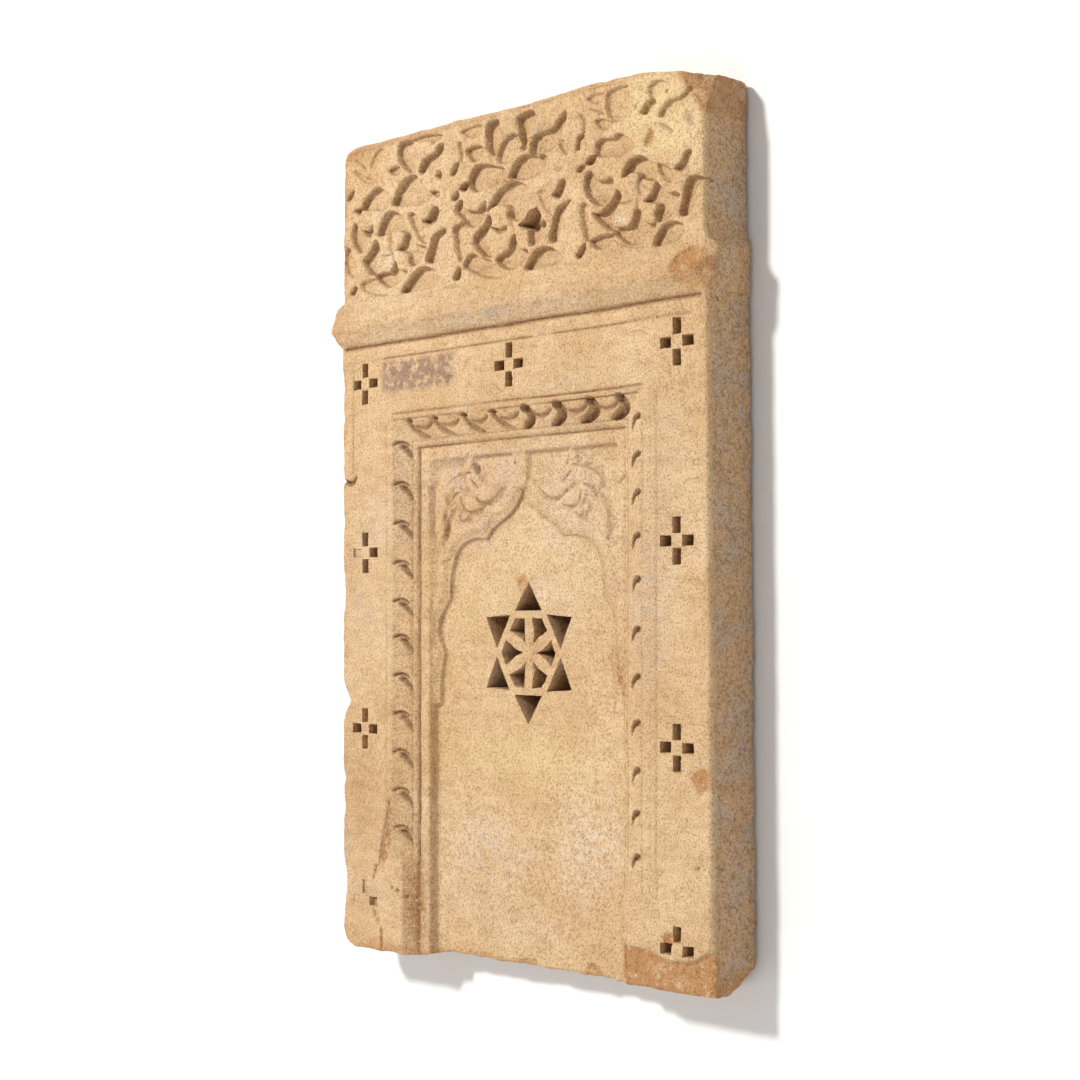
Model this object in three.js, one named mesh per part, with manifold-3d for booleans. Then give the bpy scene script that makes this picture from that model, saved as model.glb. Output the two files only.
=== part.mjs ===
// Stone relief panel: one carved sandstone slab with a vine frieze, a ledge and a blind cusped niche.
// Millimetres. X runs across the panel, Z up. The carved front faces -Y and the flat back lies at Y = 0.
// Depths are measured from the outer face towards the back.
import * as THREE from 'three';
import { mergeVertices } from 'three/addons/utils/BufferGeometryUtils.js';
import Module from 'manifold-3d';

// The slab
const slabWidth = 468;
const slabHeight = 760;
const slabThickness = 56;
const footSlope = 11; // the foot runs lower at the left than at the right
const footFlare = 7; // the right side spreads this far towards the foot
const cornerRadius = 22;
const crownFall = 14; // the worn top edge drops this far at the right
const crownFallRun = 75;

// The frieze
const topBorder = 11;
const friezeHeight = 139;
const friezeDepth = 9;
const petalDrop = 1.5; // rosette petals stop this far below the outer face
const ringHalfWidth = 44;
const ringHalfHeight = 31;
const ringRise = 48; // ring centre above the foot of the frieze
const petalRadius = 10.5;
const bossRadius = 5;

// The ledge
const ledgeReach = 12;
const ledgeSideReach = 9;
const ledgeSlope = 25;
const ledgeNose = 3;
const ledgeUnderside = 15;
const ledgeGroove = 2;

// Incised lines
const incisedWidth = 1.6;
const incisedDepth = 1.4;
const stripHeight = 14; // from the ledge to the first incised line
const lineMargin = 14; // from the slab's edge to the upright line at the left
const frameLineGap = 6.5; // from the leaf band to the double line over it
const uprightLineGaps = [5.5, 15, 21]; // upright lines right of the leaf band

// The sunk crosses
const crossArm = 13; // length of the holes above and below the middle
const crossArmWidth = 8.5;
const crossSideArm = 12;
const crossMiddle = 11; // solid square between the four holes
const crossDepth = 9;
const crossInset = 32.5; // from the slab's edge
const crossDrop = 21.5; // top row below the first incised line
const crossRowDrops = [0, 161.5, 327.7, 489.5];
const crossHoleTaper = 0.85;

// The stepped frame round the niche
const frameDrop = 60.5; // from the first incised line to the leaf band
const frameMargin = 76; // from the slab's edge to the leaf band
const leafBandWidth = 18;
const leafBandHeight = 20.5;
const leafBandDepth = 7;
const plainBlockDrop = 407; // the leaf band turns plain this far below its top
const plainBlockLap = 15;
const beadWidth = 5.5;
const beadDepth = 10.5;
const flatBandDepth = 13.5;
const flatBandWidth = 10.5;
const spandrelDepth = 19;
const nicheDepth = 23;

// The leaves cut across the band
const leafPitch = 36.4;
const leafCount = 11; // on each side
const leafFirstDrop = 19;
const leafCutWidth = 5.5;
const leafCutDepth = 4;
const topLeafPitch = 38;
const topLeafCount = 4; // in each half of the top
const topLeafFirst = 22;
const topLeafCutWidth = 7;

// The cusped arch
const archRise = 194;
const archTopGap = 32; // from the top of the spandrels to the point of the arch
const archBandWidth = 17;
const archBandDepth = 16;
const vineDepth = 15.5;

// The pierced star
const starRadius = 64;
const starDrop = 147; // centre below the point of the arch
const starShift = 2.4;
const starBar = 4.5;
const starTaper = 0.84;
const starBossRadius = 8;

const faceSlack = 4; // cutters start this far in front of what they cut
const halfWidth = slabWidth / 2;
const crownZ = slabHeight / 2;
const footZ = -slabHeight / 2;
const friezeTop = crownZ - topBorder;
const friezeFoot = friezeTop - friezeHeight;
const ledgeFoot = friezeFoot - ledgeSlope - ledgeNose - ledgeUnderside;
const firstLine = ledgeFoot - stripHeight;
const frameHalf = halfWidth - frameMargin;
const frameTop = firstLine - frameDrop;
const beadHalf = frameHalf - leafBandWidth;
const beadTop = frameTop - leafBandHeight;
const flatHalf = beadHalf - beadWidth;
const flatTop = beadTop - beadWidth;
const nicheHalf = flatHalf - flatBandWidth;
const spandrelTop = flatTop - flatBandWidth;
const archTop = spandrelTop - archTopGap;
const archFoot = archTop - archRise;

const wasm = await Module();
wasm.setup();

const radians = (degrees) => THREE.MathUtils.degToRad(degrees);

const point = (x, z) => new THREE.Vector2(x, z);

function solidOf(geometry) {
  const bare = geometry.index ? geometry : geometry.clone();
  bare.deleteAttribute('normal');
  bare.deleteAttribute('uv');
  const merged = mergeVertices(bare);
  const vertProperties = new Float32Array(merged.attributes.position.array);
  const triVerts = new Uint32Array(merged.index.array);
  return new wasm.Manifold(new wasm.Mesh({ numProp: 3, vertProperties, triVerts }));
}

function geometryOf(solid) {
  const { vertProperties, triVerts } = solid.getMesh();
  const geometry = new THREE.BufferGeometry();
  geometry.setAttribute('position', new THREE.BufferAttribute(vertProperties, 3));
  geometry.setIndex(new THREE.BufferAttribute(triVerts, 1));
  geometry.computeVertexNormals();
  return geometry;
}

function joined(solids) {
  return solids.reduce((whole, solid) => whole.add(solid));
}

// A prism between two depths. Its far end may be smaller than its near end, as a hand-cut hole is.
function prism(shape, nearDepth, farDepth, farShare = 1, curveSegments = 8) {
  const settings = { depth: farDepth - nearDepth, bevelEnabled: false, curveSegments };
  const geometry = new THREE.ExtrudeGeometry(shape, settings);
  const outline = shape.getPoints(curveSegments);
  const middle = outline.reduce((sum, p) => sum.add(p), point(0, 0)).divideScalar(outline.length);
  const places = geometry.attributes.position;
  for (let i = 0; i < places.count; i += 1) {
    if (places.getZ(i) > 0) continue;
    places.setX(i, middle.x + (places.getX(i) - middle.x) * farShare);
    places.setY(i, middle.y + (places.getY(i) - middle.y) * farShare);
  }
  geometry.rotateX(Math.PI / 2);
  geometry.translate(0, farDepth - slabThickness, 0);
  return solidOf(geometry);
}

function rectangle(left, right, foot, top) {
  return new THREE.Shape([point(left, foot), point(right, foot), point(right, top), point(left, top)]);
}

// A blade follows a bent line from one end to the other. Its tips are shares of its width.
function blade(from, bend, to, width, tips = [0.35, 0.35], steps = 6) {
  const line = new THREE.QuadraticBezierCurve(from, bend, to);
  const one = [];
  const other = [];
  for (let i = 0; i <= steps; i += 1) {
    const t = i / steps;
    const tip = t < 0.5 ? tips[0] : tips[1];
    const share = tip + (1 - tip) * Math.sqrt(Math.sin(Math.PI * t));
    const middle = line.getPoint(t);
    const ahead = line.getTangent(t).multiplyScalar((width / 2) * share);
    one.push(point(middle.x - ahead.y, middle.y + ahead.x));
    other.unshift(point(middle.x + ahead.y, middle.y - ahead.x));
  }
  return new THREE.Shape([...one, ...other]);
}

// The slab's outline, with its rounded corners, worn crown and sloping foot.
function slabOutline() {
  const outline = new THREE.Shape();
  outline.moveTo(-halfWidth, footZ - footSlope / 2 + cornerRadius);
  outline.lineTo(-halfWidth, crownZ - cornerRadius);
  outline.quadraticCurveTo(-halfWidth, crownZ, -halfWidth + cornerRadius * 0.8, crownZ - 1);
  outline.lineTo(halfWidth - crownFallRun, crownZ);
  outline.quadraticCurveTo(halfWidth - crownFallRun / 2, crownZ - 1, halfWidth, crownZ - crownFall);
  outline.lineTo(halfWidth, friezeFoot);
  outline.lineTo(halfWidth + footFlare, footZ + footSlope / 2);
  outline.lineTo(0, footZ + footSlope / 4);
  outline.lineTo(-halfWidth + cornerRadius, footZ - footSlope / 2);
  outline.quadraticCurveTo(
    -halfWidth + cornerRadius / 4, footZ - footSlope / 2,
    -halfWidth, footZ - footSlope / 2 + cornerRadius,
  );
  return outline;
}

// Bites out of the left edge: how far below the crown, how deep and how tall.
const edgeBites = [
  { drop: 315, deep: 8, tall: 9 },
  { drop: 529, deep: 12, tall: 26 },
  { drop: 594, deep: 7, tall: 46 },
  { drop: 704, deep: 5, tall: 52 },
];

function edgeBite({ drop, deep, tall }) {
  const z = crownZ - drop;
  const edge = -halfWidth;
  const shape = new THREE.Shape();
  shape.moveTo(edge - faceSlack, z + tall / 2 + 2);
  shape.quadraticCurveTo(edge + deep * 0.6, z + tall / 3, edge + deep, z);
  shape.quadraticCurveTo(edge + deep * 0.7, z - tall / 3, edge - faceSlack, z - tall / 2 - 2);
  return prism(shape, -faceSlack, slabThickness * 0.7, 0.85, 3);
}

// Broken corners at the right: each is a turned block with its own place, size and turn.
function brokenCorner(x, y, z, size, turnY, turnZ) {
  const block = new THREE.BoxGeometry(size, size, size);
  block.translate(size / 2, 0, 0);
  block.rotateZ(radians(turnZ));
  block.rotateY(radians(turnY));
  block.translate(x, y, z);
  return solidOf(block);
}

function brokenCorners() {
  const right = halfWidth;
  return joined([
    brokenCorner(right - 5, -slabThickness, crownZ - 12, 90, -35, -50),
    brokenCorner(right - 5, -2, crownZ - 16, 90, -50, 25),
    brokenCorner(right + footFlare - 12, -2, footZ + 16, 90, 50, 25),
  ]);
}

// The ledge: a smooth slope out to a nose and a hollow back under it, dying away along both sides.
function ledge() {
  const levels = [
    { z: friezeFoot, reach: 0 },
    { z: friezeFoot - ledgeSlope * 0.5, reach: 0.45 },
    { z: friezeFoot - ledgeSlope * 0.85, reach: 0.9 },
    { z: friezeFoot - ledgeSlope, reach: 1 },
    { z: friezeFoot - ledgeSlope - ledgeNose, reach: 0.97 },
    { z: ledgeFoot + ledgeUnderside * 0.35, reach: 0.4 },
    { z: ledgeFoot, reach: 0 },
  ];
  const rootDepth = slabThickness / 4;
  const geometry = new THREE.BoxGeometry(1, 1, 1, 1, 1, levels.length - 1);
  const places = geometry.attributes.position;
  for (let i = 0; i < places.count; i += 1) {
    const step = Math.round((0.5 - places.getZ(i)) * (levels.length - 1));
    const { z, reach } = levels[step];
    const side = Math.sign(places.getX(i));
    const atFront = places.getY(i) < 0;
    const out = atFront ? ledgeReach * reach : -rootDepth;
    const sideways = atFront ? ledgeSideReach * reach : 0;
    places.setXYZ(i, side * (halfWidth - 0.5 + sideways), -slabThickness - out, z);
  }
  return solidOf(geometry);
}

// The ledge's ends reach back along the sides of the slab and die away there.
function ledgeReturn(side) {
  const shape = new THREE.Shape();
  const edge = side * halfWidth;
  shape.moveTo(edge - side, friezeFoot);
  shape.lineTo(edge, friezeFoot);
  shape.lineTo(edge + side * ledgeSideReach * 0.9, friezeFoot - ledgeSlope * 0.85);
  shape.lineTo(edge + side * ledgeSideReach, friezeFoot - ledgeSlope - ledgeNose / 2);
  shape.lineTo(edge + side * ledgeSideReach * 0.3, ledgeFoot + ledgeUnderside * 0.3);
  shape.lineTo(edge - side, ledgeFoot);
  return prism(shape, -1, slabThickness * 0.8, 0.3);
}

// The recesses are boxes open at the foot, whose far face may be smaller than their near face.
function recess(near, far) {
  const geometry = new THREE.BoxGeometry(1, 1, 1);
  const places = geometry.attributes.position;
  const foot = near.foot ?? footZ - footSlope - faceSlack;
  for (let i = 0; i < places.count; i += 1) {
    const end = places.getY(i) < 0 ? near : far;
    const x = Math.sign(places.getX(i)) * end.half;
    const z = places.getZ(i) > 0 ? end.top : foot;
    places.setXYZ(i, x, end.depth - slabThickness, z);
  }
  return solidOf(geometry);
}

function frameRecesses() {
  const leafFoot = frameTop - plainBlockDrop;
  const plainHalf = frameHalf - plainBlockLap;
  return joined([
    recess(
      { half: frameHalf + 1, top: frameTop + 1, depth: -1, foot: leafFoot },
      { half: beadHalf, top: beadTop, depth: leafBandDepth },
    ),
    recess(
      { half: plainHalf, top: leafFoot + 1, depth: -1 },
      { half: flatHalf + 1, top: leafFoot + 1, depth: leafBandDepth },
    ),
    recess(
      { half: beadHalf, top: beadTop, depth: leafBandDepth - 0.1 },
      { half: flatHalf, top: flatTop, depth: beadDepth },
    ),
    recess(
      { half: flatHalf, top: flatTop, depth: beadDepth - 0.1 },
      { half: flatHalf, top: flatTop, depth: flatBandDepth },
    ),
    recess(
      { half: nicheHalf, top: spandrelTop, depth: flatBandDepth - 0.1 },
      { half: nicheHalf, top: spandrelTop, depth: spandrelDepth },
    ),
  ]);
}

// Half of the cusped arch, from its point down: shares of the niche's half width and of the rise,
// and the way each place moves when the arch grows outwards.
const archHalf = [
  { at: [0, 1], out: [0, 1.4] },
  { bend: [0.05, 0.915], out: [0.35, 1.1] },
  { at: [0.2, 0.868], out: [0.5, 0.85] },
  { bend: [0.35, 0.82], out: [0.6, 0.75] },
  { at: [0.387, 0.777], out: [0.65, 0.6] },
  { bend: [0.815, 0.816], out: [0.8, 0.75] },
  { at: [0.79, 0.5], out: [0.95, 0.25] },
  { bend: [1.01, 0.377], out: [1, 0] },
  { at: [0.855, 0.243], out: [1, 0] },
  { bend: [0.92, 0.114], out: [1, 0] },
  { at: [0.895, 0], out: [1, 0] },
];

function archShape(grow, foot) {
  const place = ({ at, bend, out }) => {
    const [across, up] = at ?? bend;
    const x = Math.min(across * nicheHalf + out[0] * grow, nicheHalf + 1);
    const z = Math.min(archFoot + up * archRise + out[1] * grow, spandrelTop + 1);
    return { x, z };
  };
  const right = archHalf.map(place);
  const left = right.map(({ x, z }) => ({ x: -x, z })).reverse();
  const shape = new THREE.Shape();
  shape.moveTo(left[0].x, foot);
  shape.lineTo(left[0].x, left[0].z);
  for (let i = 1; i < left.length; i += 2) {
    shape.quadraticCurveTo(left[i].x, left[i].z, left[i + 1].x, left[i + 1].z);
  }
  for (let i = 1; i < right.length; i += 2) {
    shape.quadraticCurveTo(right[i].x, right[i].z, right[i + 1].x, right[i + 1].z);
  }
  shape.lineTo(right.at(-1).x, foot);
  return shape;
}

function archBand() {
  const whole = prism(archShape(archBandWidth, archFoot), archBandDepth, nicheDepth + 1, 1, 5);
  const inside = prism(archShape(0, archFoot - 1), archBandDepth - 1, nicheDepth + 2, 1, 5);
  return whole.subtract(inside);
}

function nicheField() {
  const below = rectangle(-nicheHalf, nicheHalf, footZ - footSlope - faceSlack, archFoot);
  return joined([
    prism(archShape(0, archFoot - 1), spandrelDepth - 1, nicheDepth, 1, 5),
    prism(below, spandrelDepth - 1, nicheDepth),
  ]);
}

// The leaf sprays in the spandrels: places are shares of the niche's half width and of the
// height from the arch's foot to the top of the spandrels.
const sprayBlades = [
  { from: [-0.9, 0.62], bend: [-0.86, 0.8], to: [-0.63, 0.895], width: 15, tips: [0.5, 0.8] },
  { from: [-0.58, 0.9], bend: [-0.36, 0.79], to: [-0.17, 0.87], width: 17, tips: [0.9, 0.15] },
  { from: [-0.55, 0.87], bend: [-0.5, 0.93], to: [-0.5, 0.99], width: 10, tips: [0.9, 0.4] },
  { from: [-0.62, 0.88], bend: [-0.58, 0.77], to: [-0.44, 0.78], width: 17, tips: [0.9, 0.5] },
  { from: [-0.84, 0.66], bend: [-0.75, 0.8], to: [-0.6, 0.77], width: 8, tips: [0.6, 0.8] },
  { from: [-0.61, 0.78], bend: [-0.56, 0.76], to: [-0.58, 0.73], width: 11, tips: [0.7, 0.7] },
];

function spandrelSpray(side) {
  const height = spandrelTop - archFoot;
  const place = ([across, up]) => point(side * -across * nicheHalf, archFoot + up * height);
  return joined(sprayBlades.map(({ from, bend, to, width, tips }) => {
    const shape = blade(place(from), place(bend), place(to), width, tips);
    return prism(shape, vineDepth, spandrelDepth + 1);
  }));
}

// The finial over the point of the arch.
function finial() {
  const foot = archTop + archBandWidth;
  const shape = blade(point(0, foot - 8), point(0, foot), point(0, spandrelTop + 1), 22, [0.9, 0.7]);
  return prism(shape, vineDepth, spandrelDepth + 1);
}

// A leaf of the band is parted from the next by a crescent cut.
function sideLeafCut(side, index) {
  const z = frameTop - leafFirstDrop - index * leafPitch;
  const outer = side * (frameHalf - 1);
  const inner = side * (beadHalf - 4);
  const shape = blade(
    point(outer, z), point(outer - side * leafBandWidth * 0.7, z), point(inner, z - leafPitch * 0.55),
    leafCutWidth, [0.4, 0.9], 4,
  );
  return prism(shape, -1, leafBandDepth + leafCutDepth - 2, 0.9);
}

function topLeafCut(side, index) {
  const x = side * (topLeafFirst + index * topLeafPitch);
  const shape = blade(
    point(x, frameTop - 1), point(x + side * -2, beadTop + 5), point(x - side * 24, beadTop + 1),
    topLeafCutWidth, [0.9, 0.1], 4,
  );
  return prism(shape, -1, leafBandDepth + leafCutDepth - 3, 0.9);
}

function leafBandCuts() {
  const cuts = [];
  for (const side of [-1, 1]) {
    for (let i = 0; i < leafCount; i += 1) cuts.push(sideLeafCut(side, i));
    for (let i = 0; i < topLeafCount; i += 1) cuts.push(topLeafCut(side, i));
  }
  return joined(cuts);
}

// A cross of four square holes round a solid middle.
function crossCuts(x, z) {
  const near = crossMiddle / 2;
  const half = crossArmWidth / 2;
  const holes = [
    rectangle(x - half, x + half, z + near, z + near + crossArm),
    rectangle(x - half, x + half, z - near - crossArm, z - near),
    rectangle(x - near - crossSideArm, x - near, z - half, z + half),
    rectangle(x + near, x + near + crossSideArm, z - half, z + half),
  ];
  return joined(holes.map((hole) => prism(hole, -1, crossDepth, crossHoleTaper)));
}

function allCrosses() {
  const across = halfWidth - crossInset;
  const rows = crossRowDrops.map((drop) => firstLine - crossDrop - drop);
  const crosses = [crossCuts(starShift, rows[0])];
  for (const z of rows) crosses.push(crossCuts(-across, z), crossCuts(across, z));
  return joined(crosses);
}

// The star: six outer points and six gaps between the petals of its inner flower.
function starOpenings() {
  const centre = point(starShift, archTop - starDrop);
  const around = (radius, degrees) => point(
    centre.x + radius * Math.cos(radians(degrees)),
    centre.y + radius * Math.sin(radians(degrees)),
  );
  const innerRadius = starRadius / Math.sqrt(3);
  const holes = [];
  for (let turn = 0; turn < 360; turn += 60) {
    const tip = around(starRadius - starBar / 2, turn + 30);
    const corners = [-1, 1].map((side) => around(innerRadius + starBar * 0.75, turn + 30 + side * 26));
    holes.push(new THREE.Shape([tip, ...corners]));
    holes.push(new THREE.Shape([
      around(innerRadius - starBar * 0.7, turn),
      around(innerRadius - starBar * 1.5, turn + 22),
      around(innerRadius * 0.46, turn + 11),
      around(starBossRadius, turn),
      around(innerRadius * 0.46, turn - 11),
      around(innerRadius - starBar * 1.5, turn - 22),
    ]));
  }
  return joined(holes.map((hole) => prism(hole, nicheDepth - faceSlack, slabThickness + 1, starTaper)));
}

// One bay of the frieze is drawn 80 wide on each side of its ring's middle and 139 high. Each blade
// is a place cut back to the ground: from, bend and to are measured from the middle of the ring.
const bayDrawnHalf = 80;
const bayDrawnHeight = 139;
const bayBlades = [
  // under the boat-shaped leaves left and right of the ring
  { from: [-62, 20], bend: [-47, -7], to: [-34, 23], width: 13, tips: [0.3, 0.3] },
  { from: [35, 20], bend: [50, -9], to: [64, 23], width: 13, tips: [0.5, 0.8] },
  // upright pits at both sides of the bay
  { from: [-69, 26], bend: [-68, 16], to: [-61, 11], width: 11, tips: [0.8, 0.4] },
  { from: [-61, 2], bend: [-76, 5], to: [-71, -27], width: 11, tips: [0.5, 0.6] },
  { from: [53, -24], bend: [52, 3], to: [74, 5], width: 13, tips: [0.8, 0.3] },
  // crescents under the ring
  { from: [21, -45], bend: [22, -27], to: [55, -34], width: 11, tips: [0.9, 0.2] },
  { from: [-62, -31], bend: [-46, -21], to: [-26, -36], width: 10, tips: [0.8, 0.2] },
  { from: [-66, -34], bend: [-67, -38], to: [-70, -42], width: 10, tips: [0.8, 0.8] },
  // small pits round the knots between the bays
  { from: [-77, 51], bend: [-74, 55], to: [-70, 59], width: 10, tips: [0.8, 0.8] },
  { from: [-66, 38], bend: [-61, 39], to: [-55, 39], width: 9, tips: [0.6, 0.8] },
  { from: [-75, 30], bend: [-72, 33], to: [-68, 34], width: 9, tips: [0.7, 0.7] },
  { from: [66, 56], bend: [69, 53], to: [71, 50], width: 9, tips: [0.7, 0.7] },
  // beside the ogee stem
  { from: [-56, 36], bend: [-43, 64], to: [-9, 44], width: 16, tips: [0.7, 0.2] },
  { from: [0, 40], bend: [22, 63], to: [58, 36], width: 15, tips: [0.8, 0.2] },
  // under the top border
  { from: [-24, 87], bend: [-22, 72], to: [-11, 62], width: 13, tips: [0.9, 0.3] },
  { from: [21, 88], bend: [13, 76], to: [17, 62], width: 12, tips: [0.9, 0.5] },
  { from: [-67, 88], bend: [-54, 79], to: [-38, 86], width: 11, tips: [0.3, 0.7] },
  { from: [36, 89], bend: [54, 82], to: [69, 87], width: 9, tips: [0.4, 0.3] },
  { from: [-60, 71], bend: [-48, 59], to: [-35, 66], width: 11, tips: [0.3, 0.3] },
  { from: [36, 55], bend: [36, 75], to: [67, 80], width: 11, tips: [0.7, 0.8] },
  { from: [3, 69], bend: [6, 70], to: [9, 69], width: 7, tips: [0.6, 0.6] },
];

const petals = [[-14, 10], [14, 9], [-14, -12], [14, -13]];

// The three bays, each with the middle of its ring and its reach to either side.
const bays = [
  { middle: -0.348, left: 0.15, right: 0.179 },
  { middle: 0.0085, left: 0.177, right: 0.161 },
  { middle: 0.331, left: 0.161, right: 0.167 },
];

function bayPlace(bay) {
  const up = friezeHeight / bayDrawnHeight;
  return ([x, z]) => {
    const reach = x < 0 ? bay.left : bay.right;
    const across = (reach * slabWidth) / bayDrawnHalf;
    return point(bay.middle * slabWidth + x * across, friezeFoot + ringRise + z * up);
  };
}

function bayRing(bay) {
  const middle = bayPlace(bay)([0, 0]);
  const ring = new THREE.Shape();
  ring.absellipse(middle.x, middle.y, ringHalfWidth, ringHalfHeight, 0, Math.PI * 2);
  const hollow = prism(ring, -1, friezeDepth, 0.96, 20);
  const round = (x, z, radius, sides) => {
    const disc = new THREE.Shape();
    disc.absarc(middle.x + x, middle.y + z, radius, 0, Math.PI * 2);
    return prism(disc, petalDrop, friezeDepth + 1, 1, sides);
  };
  const flower = petals.map(([x, z]) => round(x, z, petalRadius, 10));
  flower.push(round(0, -1, bossRadius, 8));
  return hollow.subtract(joined(flower));
}

function friezeCuts() {
  const cuts = [];
  for (const bay of bays) {
    const place = bayPlace(bay);
    cuts.push(bayRing(bay));
    for (const { from, bend, to, width, tips } of bayBlades) {
      const shape = blade(place(from), place(bend), place(to), width, tips, 5);
      cuts.push(prism(shape, -1, friezeDepth, 0.9));
    }
  }
  return joined(cuts);
}

// Lines incised with a point. Each is a narrow groove from one place to another.
function groove(left, right, foot, top) {
  return prism(rectangle(left, right, foot, top), -1, incisedDepth);
}

function incisedLines() {
  const half = incisedWidth / 2;
  const lowest = footZ + 2 * footSlope + 60;
  const lines = [
    groove(-halfWidth + lineMargin / 2, halfWidth - lineMargin, firstLine - half, firstLine + half),
    groove(-halfWidth + lineMargin - half, -halfWidth + lineMargin + half, frameTop, firstLine - 4),
    groove(-frameHalf, frameHalf, frameTop + frameLineGap - half, frameTop + frameLineGap + half),
  ];
  for (const gap of uprightLineGaps) {
    const x = frameHalf + gap;
    lines.push(groove(x - half, x + half, lowest, frameTop + frameLineGap - 4));
  }
  return joined(lines);
}

// The groove where the ledge meets the strip below it.
function ledgeRootGroove() {
  const shape = rectangle(-halfWidth - faceSlack, halfWidth + faceSlack, ledgeFoot - ledgeGroove, ledgeFoot);
  return prism(shape, -faceSlack, ledgeGroove);
}

function carvedStone() {
  let stone = prism(slabOutline(), 0, slabThickness, 1, 4);
  stone = stone.subtract(friezeCuts());
  stone = stone.add(ledge()).add(ledgeReturn(-1)).add(ledgeReturn(1));
  stone = stone.subtract(frameRecesses()).subtract(nicheField()).subtract(leafBandCuts());
  stone = stone.add(archBand()).add(spandrelSpray(-1)).add(spandrelSpray(1)).add(finial());
  stone = stone.subtract(allCrosses()).subtract(incisedLines()).subtract(ledgeRootGroove());
  stone = stone.subtract(starOpenings()).subtract(brokenCorners());
  return stone.subtract(joined(edgeBites.map(edgeBite)));
}

function sandstone() {
  return new THREE.MeshStandardMaterial({ color: 0xd8b98a, roughness: 0.92, metalness: 0 });
}

const stonePanel = new THREE.Mesh(geometryOf(carvedStone()), sandstone());
stonePanel.name = 'relief_panel';

const reliefPanel = new THREE.Group();
reliefPanel.add(stonePanel);

export default reliefPanel;
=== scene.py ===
"""Dresses the carved sandstone relief panel and sets its stage, light and camera.

Sizes are millimetres in the part's own frame: X across the panel, Z up, the carved front towards -Y
and the back at Y = 0. They become metres only where a mesh is written. Depths are measured from the
outer face backwards.
"""

from __future__ import annotations

import logging
import math
from dataclasses import dataclass, field
from enum import Enum
from typing import Sequence

import bmesh
import bpy
import numpy as np
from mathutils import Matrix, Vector


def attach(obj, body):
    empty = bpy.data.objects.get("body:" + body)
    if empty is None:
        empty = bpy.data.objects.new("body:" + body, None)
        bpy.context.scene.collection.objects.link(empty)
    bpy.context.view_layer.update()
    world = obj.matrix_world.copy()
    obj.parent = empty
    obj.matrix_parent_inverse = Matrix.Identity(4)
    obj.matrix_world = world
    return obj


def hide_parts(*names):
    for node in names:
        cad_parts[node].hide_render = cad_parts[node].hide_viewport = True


MM = 0.001
LOG = logging.getLogger("relief_panel")
LATTICE_PRIMES = (73856093, 19349663, 83492791)
SCRAMBLE_PRIME = 1274126177
SEED_STEP = 2654435
SLAB_THICKNESS = 56.0
SPANDREL_DEPTH = 19.0
STAR_ACROSS = 2.4

Place = tuple[float, float]
Box = tuple[float, float, float, float]
Colour = tuple[float, float, float]
Outline = Sequence[Place]

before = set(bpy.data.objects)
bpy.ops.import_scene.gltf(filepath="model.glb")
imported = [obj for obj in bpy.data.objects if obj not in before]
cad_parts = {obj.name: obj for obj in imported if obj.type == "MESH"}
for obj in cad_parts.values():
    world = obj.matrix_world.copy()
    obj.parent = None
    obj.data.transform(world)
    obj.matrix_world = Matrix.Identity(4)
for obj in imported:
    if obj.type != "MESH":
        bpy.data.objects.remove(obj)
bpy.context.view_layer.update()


def eased(value: np.ndarray, low: float, high: float) -> np.ndarray:
    """Rises smoothly from 0 at low to 1 at high."""
    share = np.clip((value - low) / (high - low), 0.0, 1.0)
    return share * share * (3.0 - 2.0 * share)


def scrambled(key: np.ndarray) -> np.ndarray:
    """Turns keys into even values.

    Args:
        key: Whole numbers.

    Returns:
        One value between -1 and 1 for each key.
    """
    mixed = (key ^ (key >> 13)) * SCRAMBLE_PRIME
    mixed = mixed ^ (mixed >> 16)
    return (mixed & 0xFFFF) / 32767.5 - 1.0


def lattice_noise(places: Sequence[np.ndarray], size: float, seed: int) -> np.ndarray:
    """Smooth noise between -1 and 1 whose lumps are about one size across.

    Args:
        places: The x, y and z of each place.
        size: Spacing of the lattice, in millimetres.
        seed: Picks one pattern.

    Returns:
        The noise at each place.
    """
    cells = [np.floor(axis / size).astype(np.int64) for axis in places]
    shares = [axis / size - cell for axis, cell in zip(places, cells)]
    eases = [share * share * (3.0 - 2.0 * share) for share in shares]
    total = np.zeros(len(places[0]))
    for corner in range(8):
        key = np.full(len(places[0]), seed * SEED_STEP, dtype=np.int64)
        weight = np.ones(len(places[0]))
        for axis in range(3):
            step = (corner >> axis) & 1
            key = key ^ ((cells[axis] + step) * LATTICE_PRIMES[axis])
            weight = weight * (eases[axis] if step else 1.0 - eases[axis])
        total += weight * scrambled(key)
    return total


def grain(places: Sequence[np.ndarray], size: float, seed: int, octaves: int = 3) -> np.ndarray:
    """Layers of lattice noise, each half as large and half as strong as the last.

    Args:
        places: The x, y and z of each place.
        size: Size of the largest lumps, in millimetres.
        seed: Picks one pattern.
        octaves: Number of layers.

    Returns:
        Values between about -1 and 1.
    """
    total = sum(lattice_noise(places, size / 2**k, seed + k) / 2**k for k in range(octaves))
    return total / (2.0 - 0.5 ** (octaves - 1))


def smoothed(outline: Outline, steps: int = 4) -> np.ndarray:
    """Runs a closed curve through the corners of an outline.

    Args:
        outline: Corners in order.
        steps: Number of places on the curve for each corner.

    Returns:
        The places on the curve, one row each.
    """
    here = np.array(outline, float)
    before, after, beyond = (np.roll(here, shift, axis=0) for shift in (1, -1, -2))
    rows = []
    for t in np.arange(steps) / steps:
        bend = (2 * before - 5 * here + 4 * after - beyond) * t**2
        twist = (3 * here - before - 3 * after + beyond) * t**3
        rows.append(0.5 * (2 * here + (after - before) * t + bend + twist))
    return np.stack(rows, 1).reshape(-1, 2)


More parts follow.
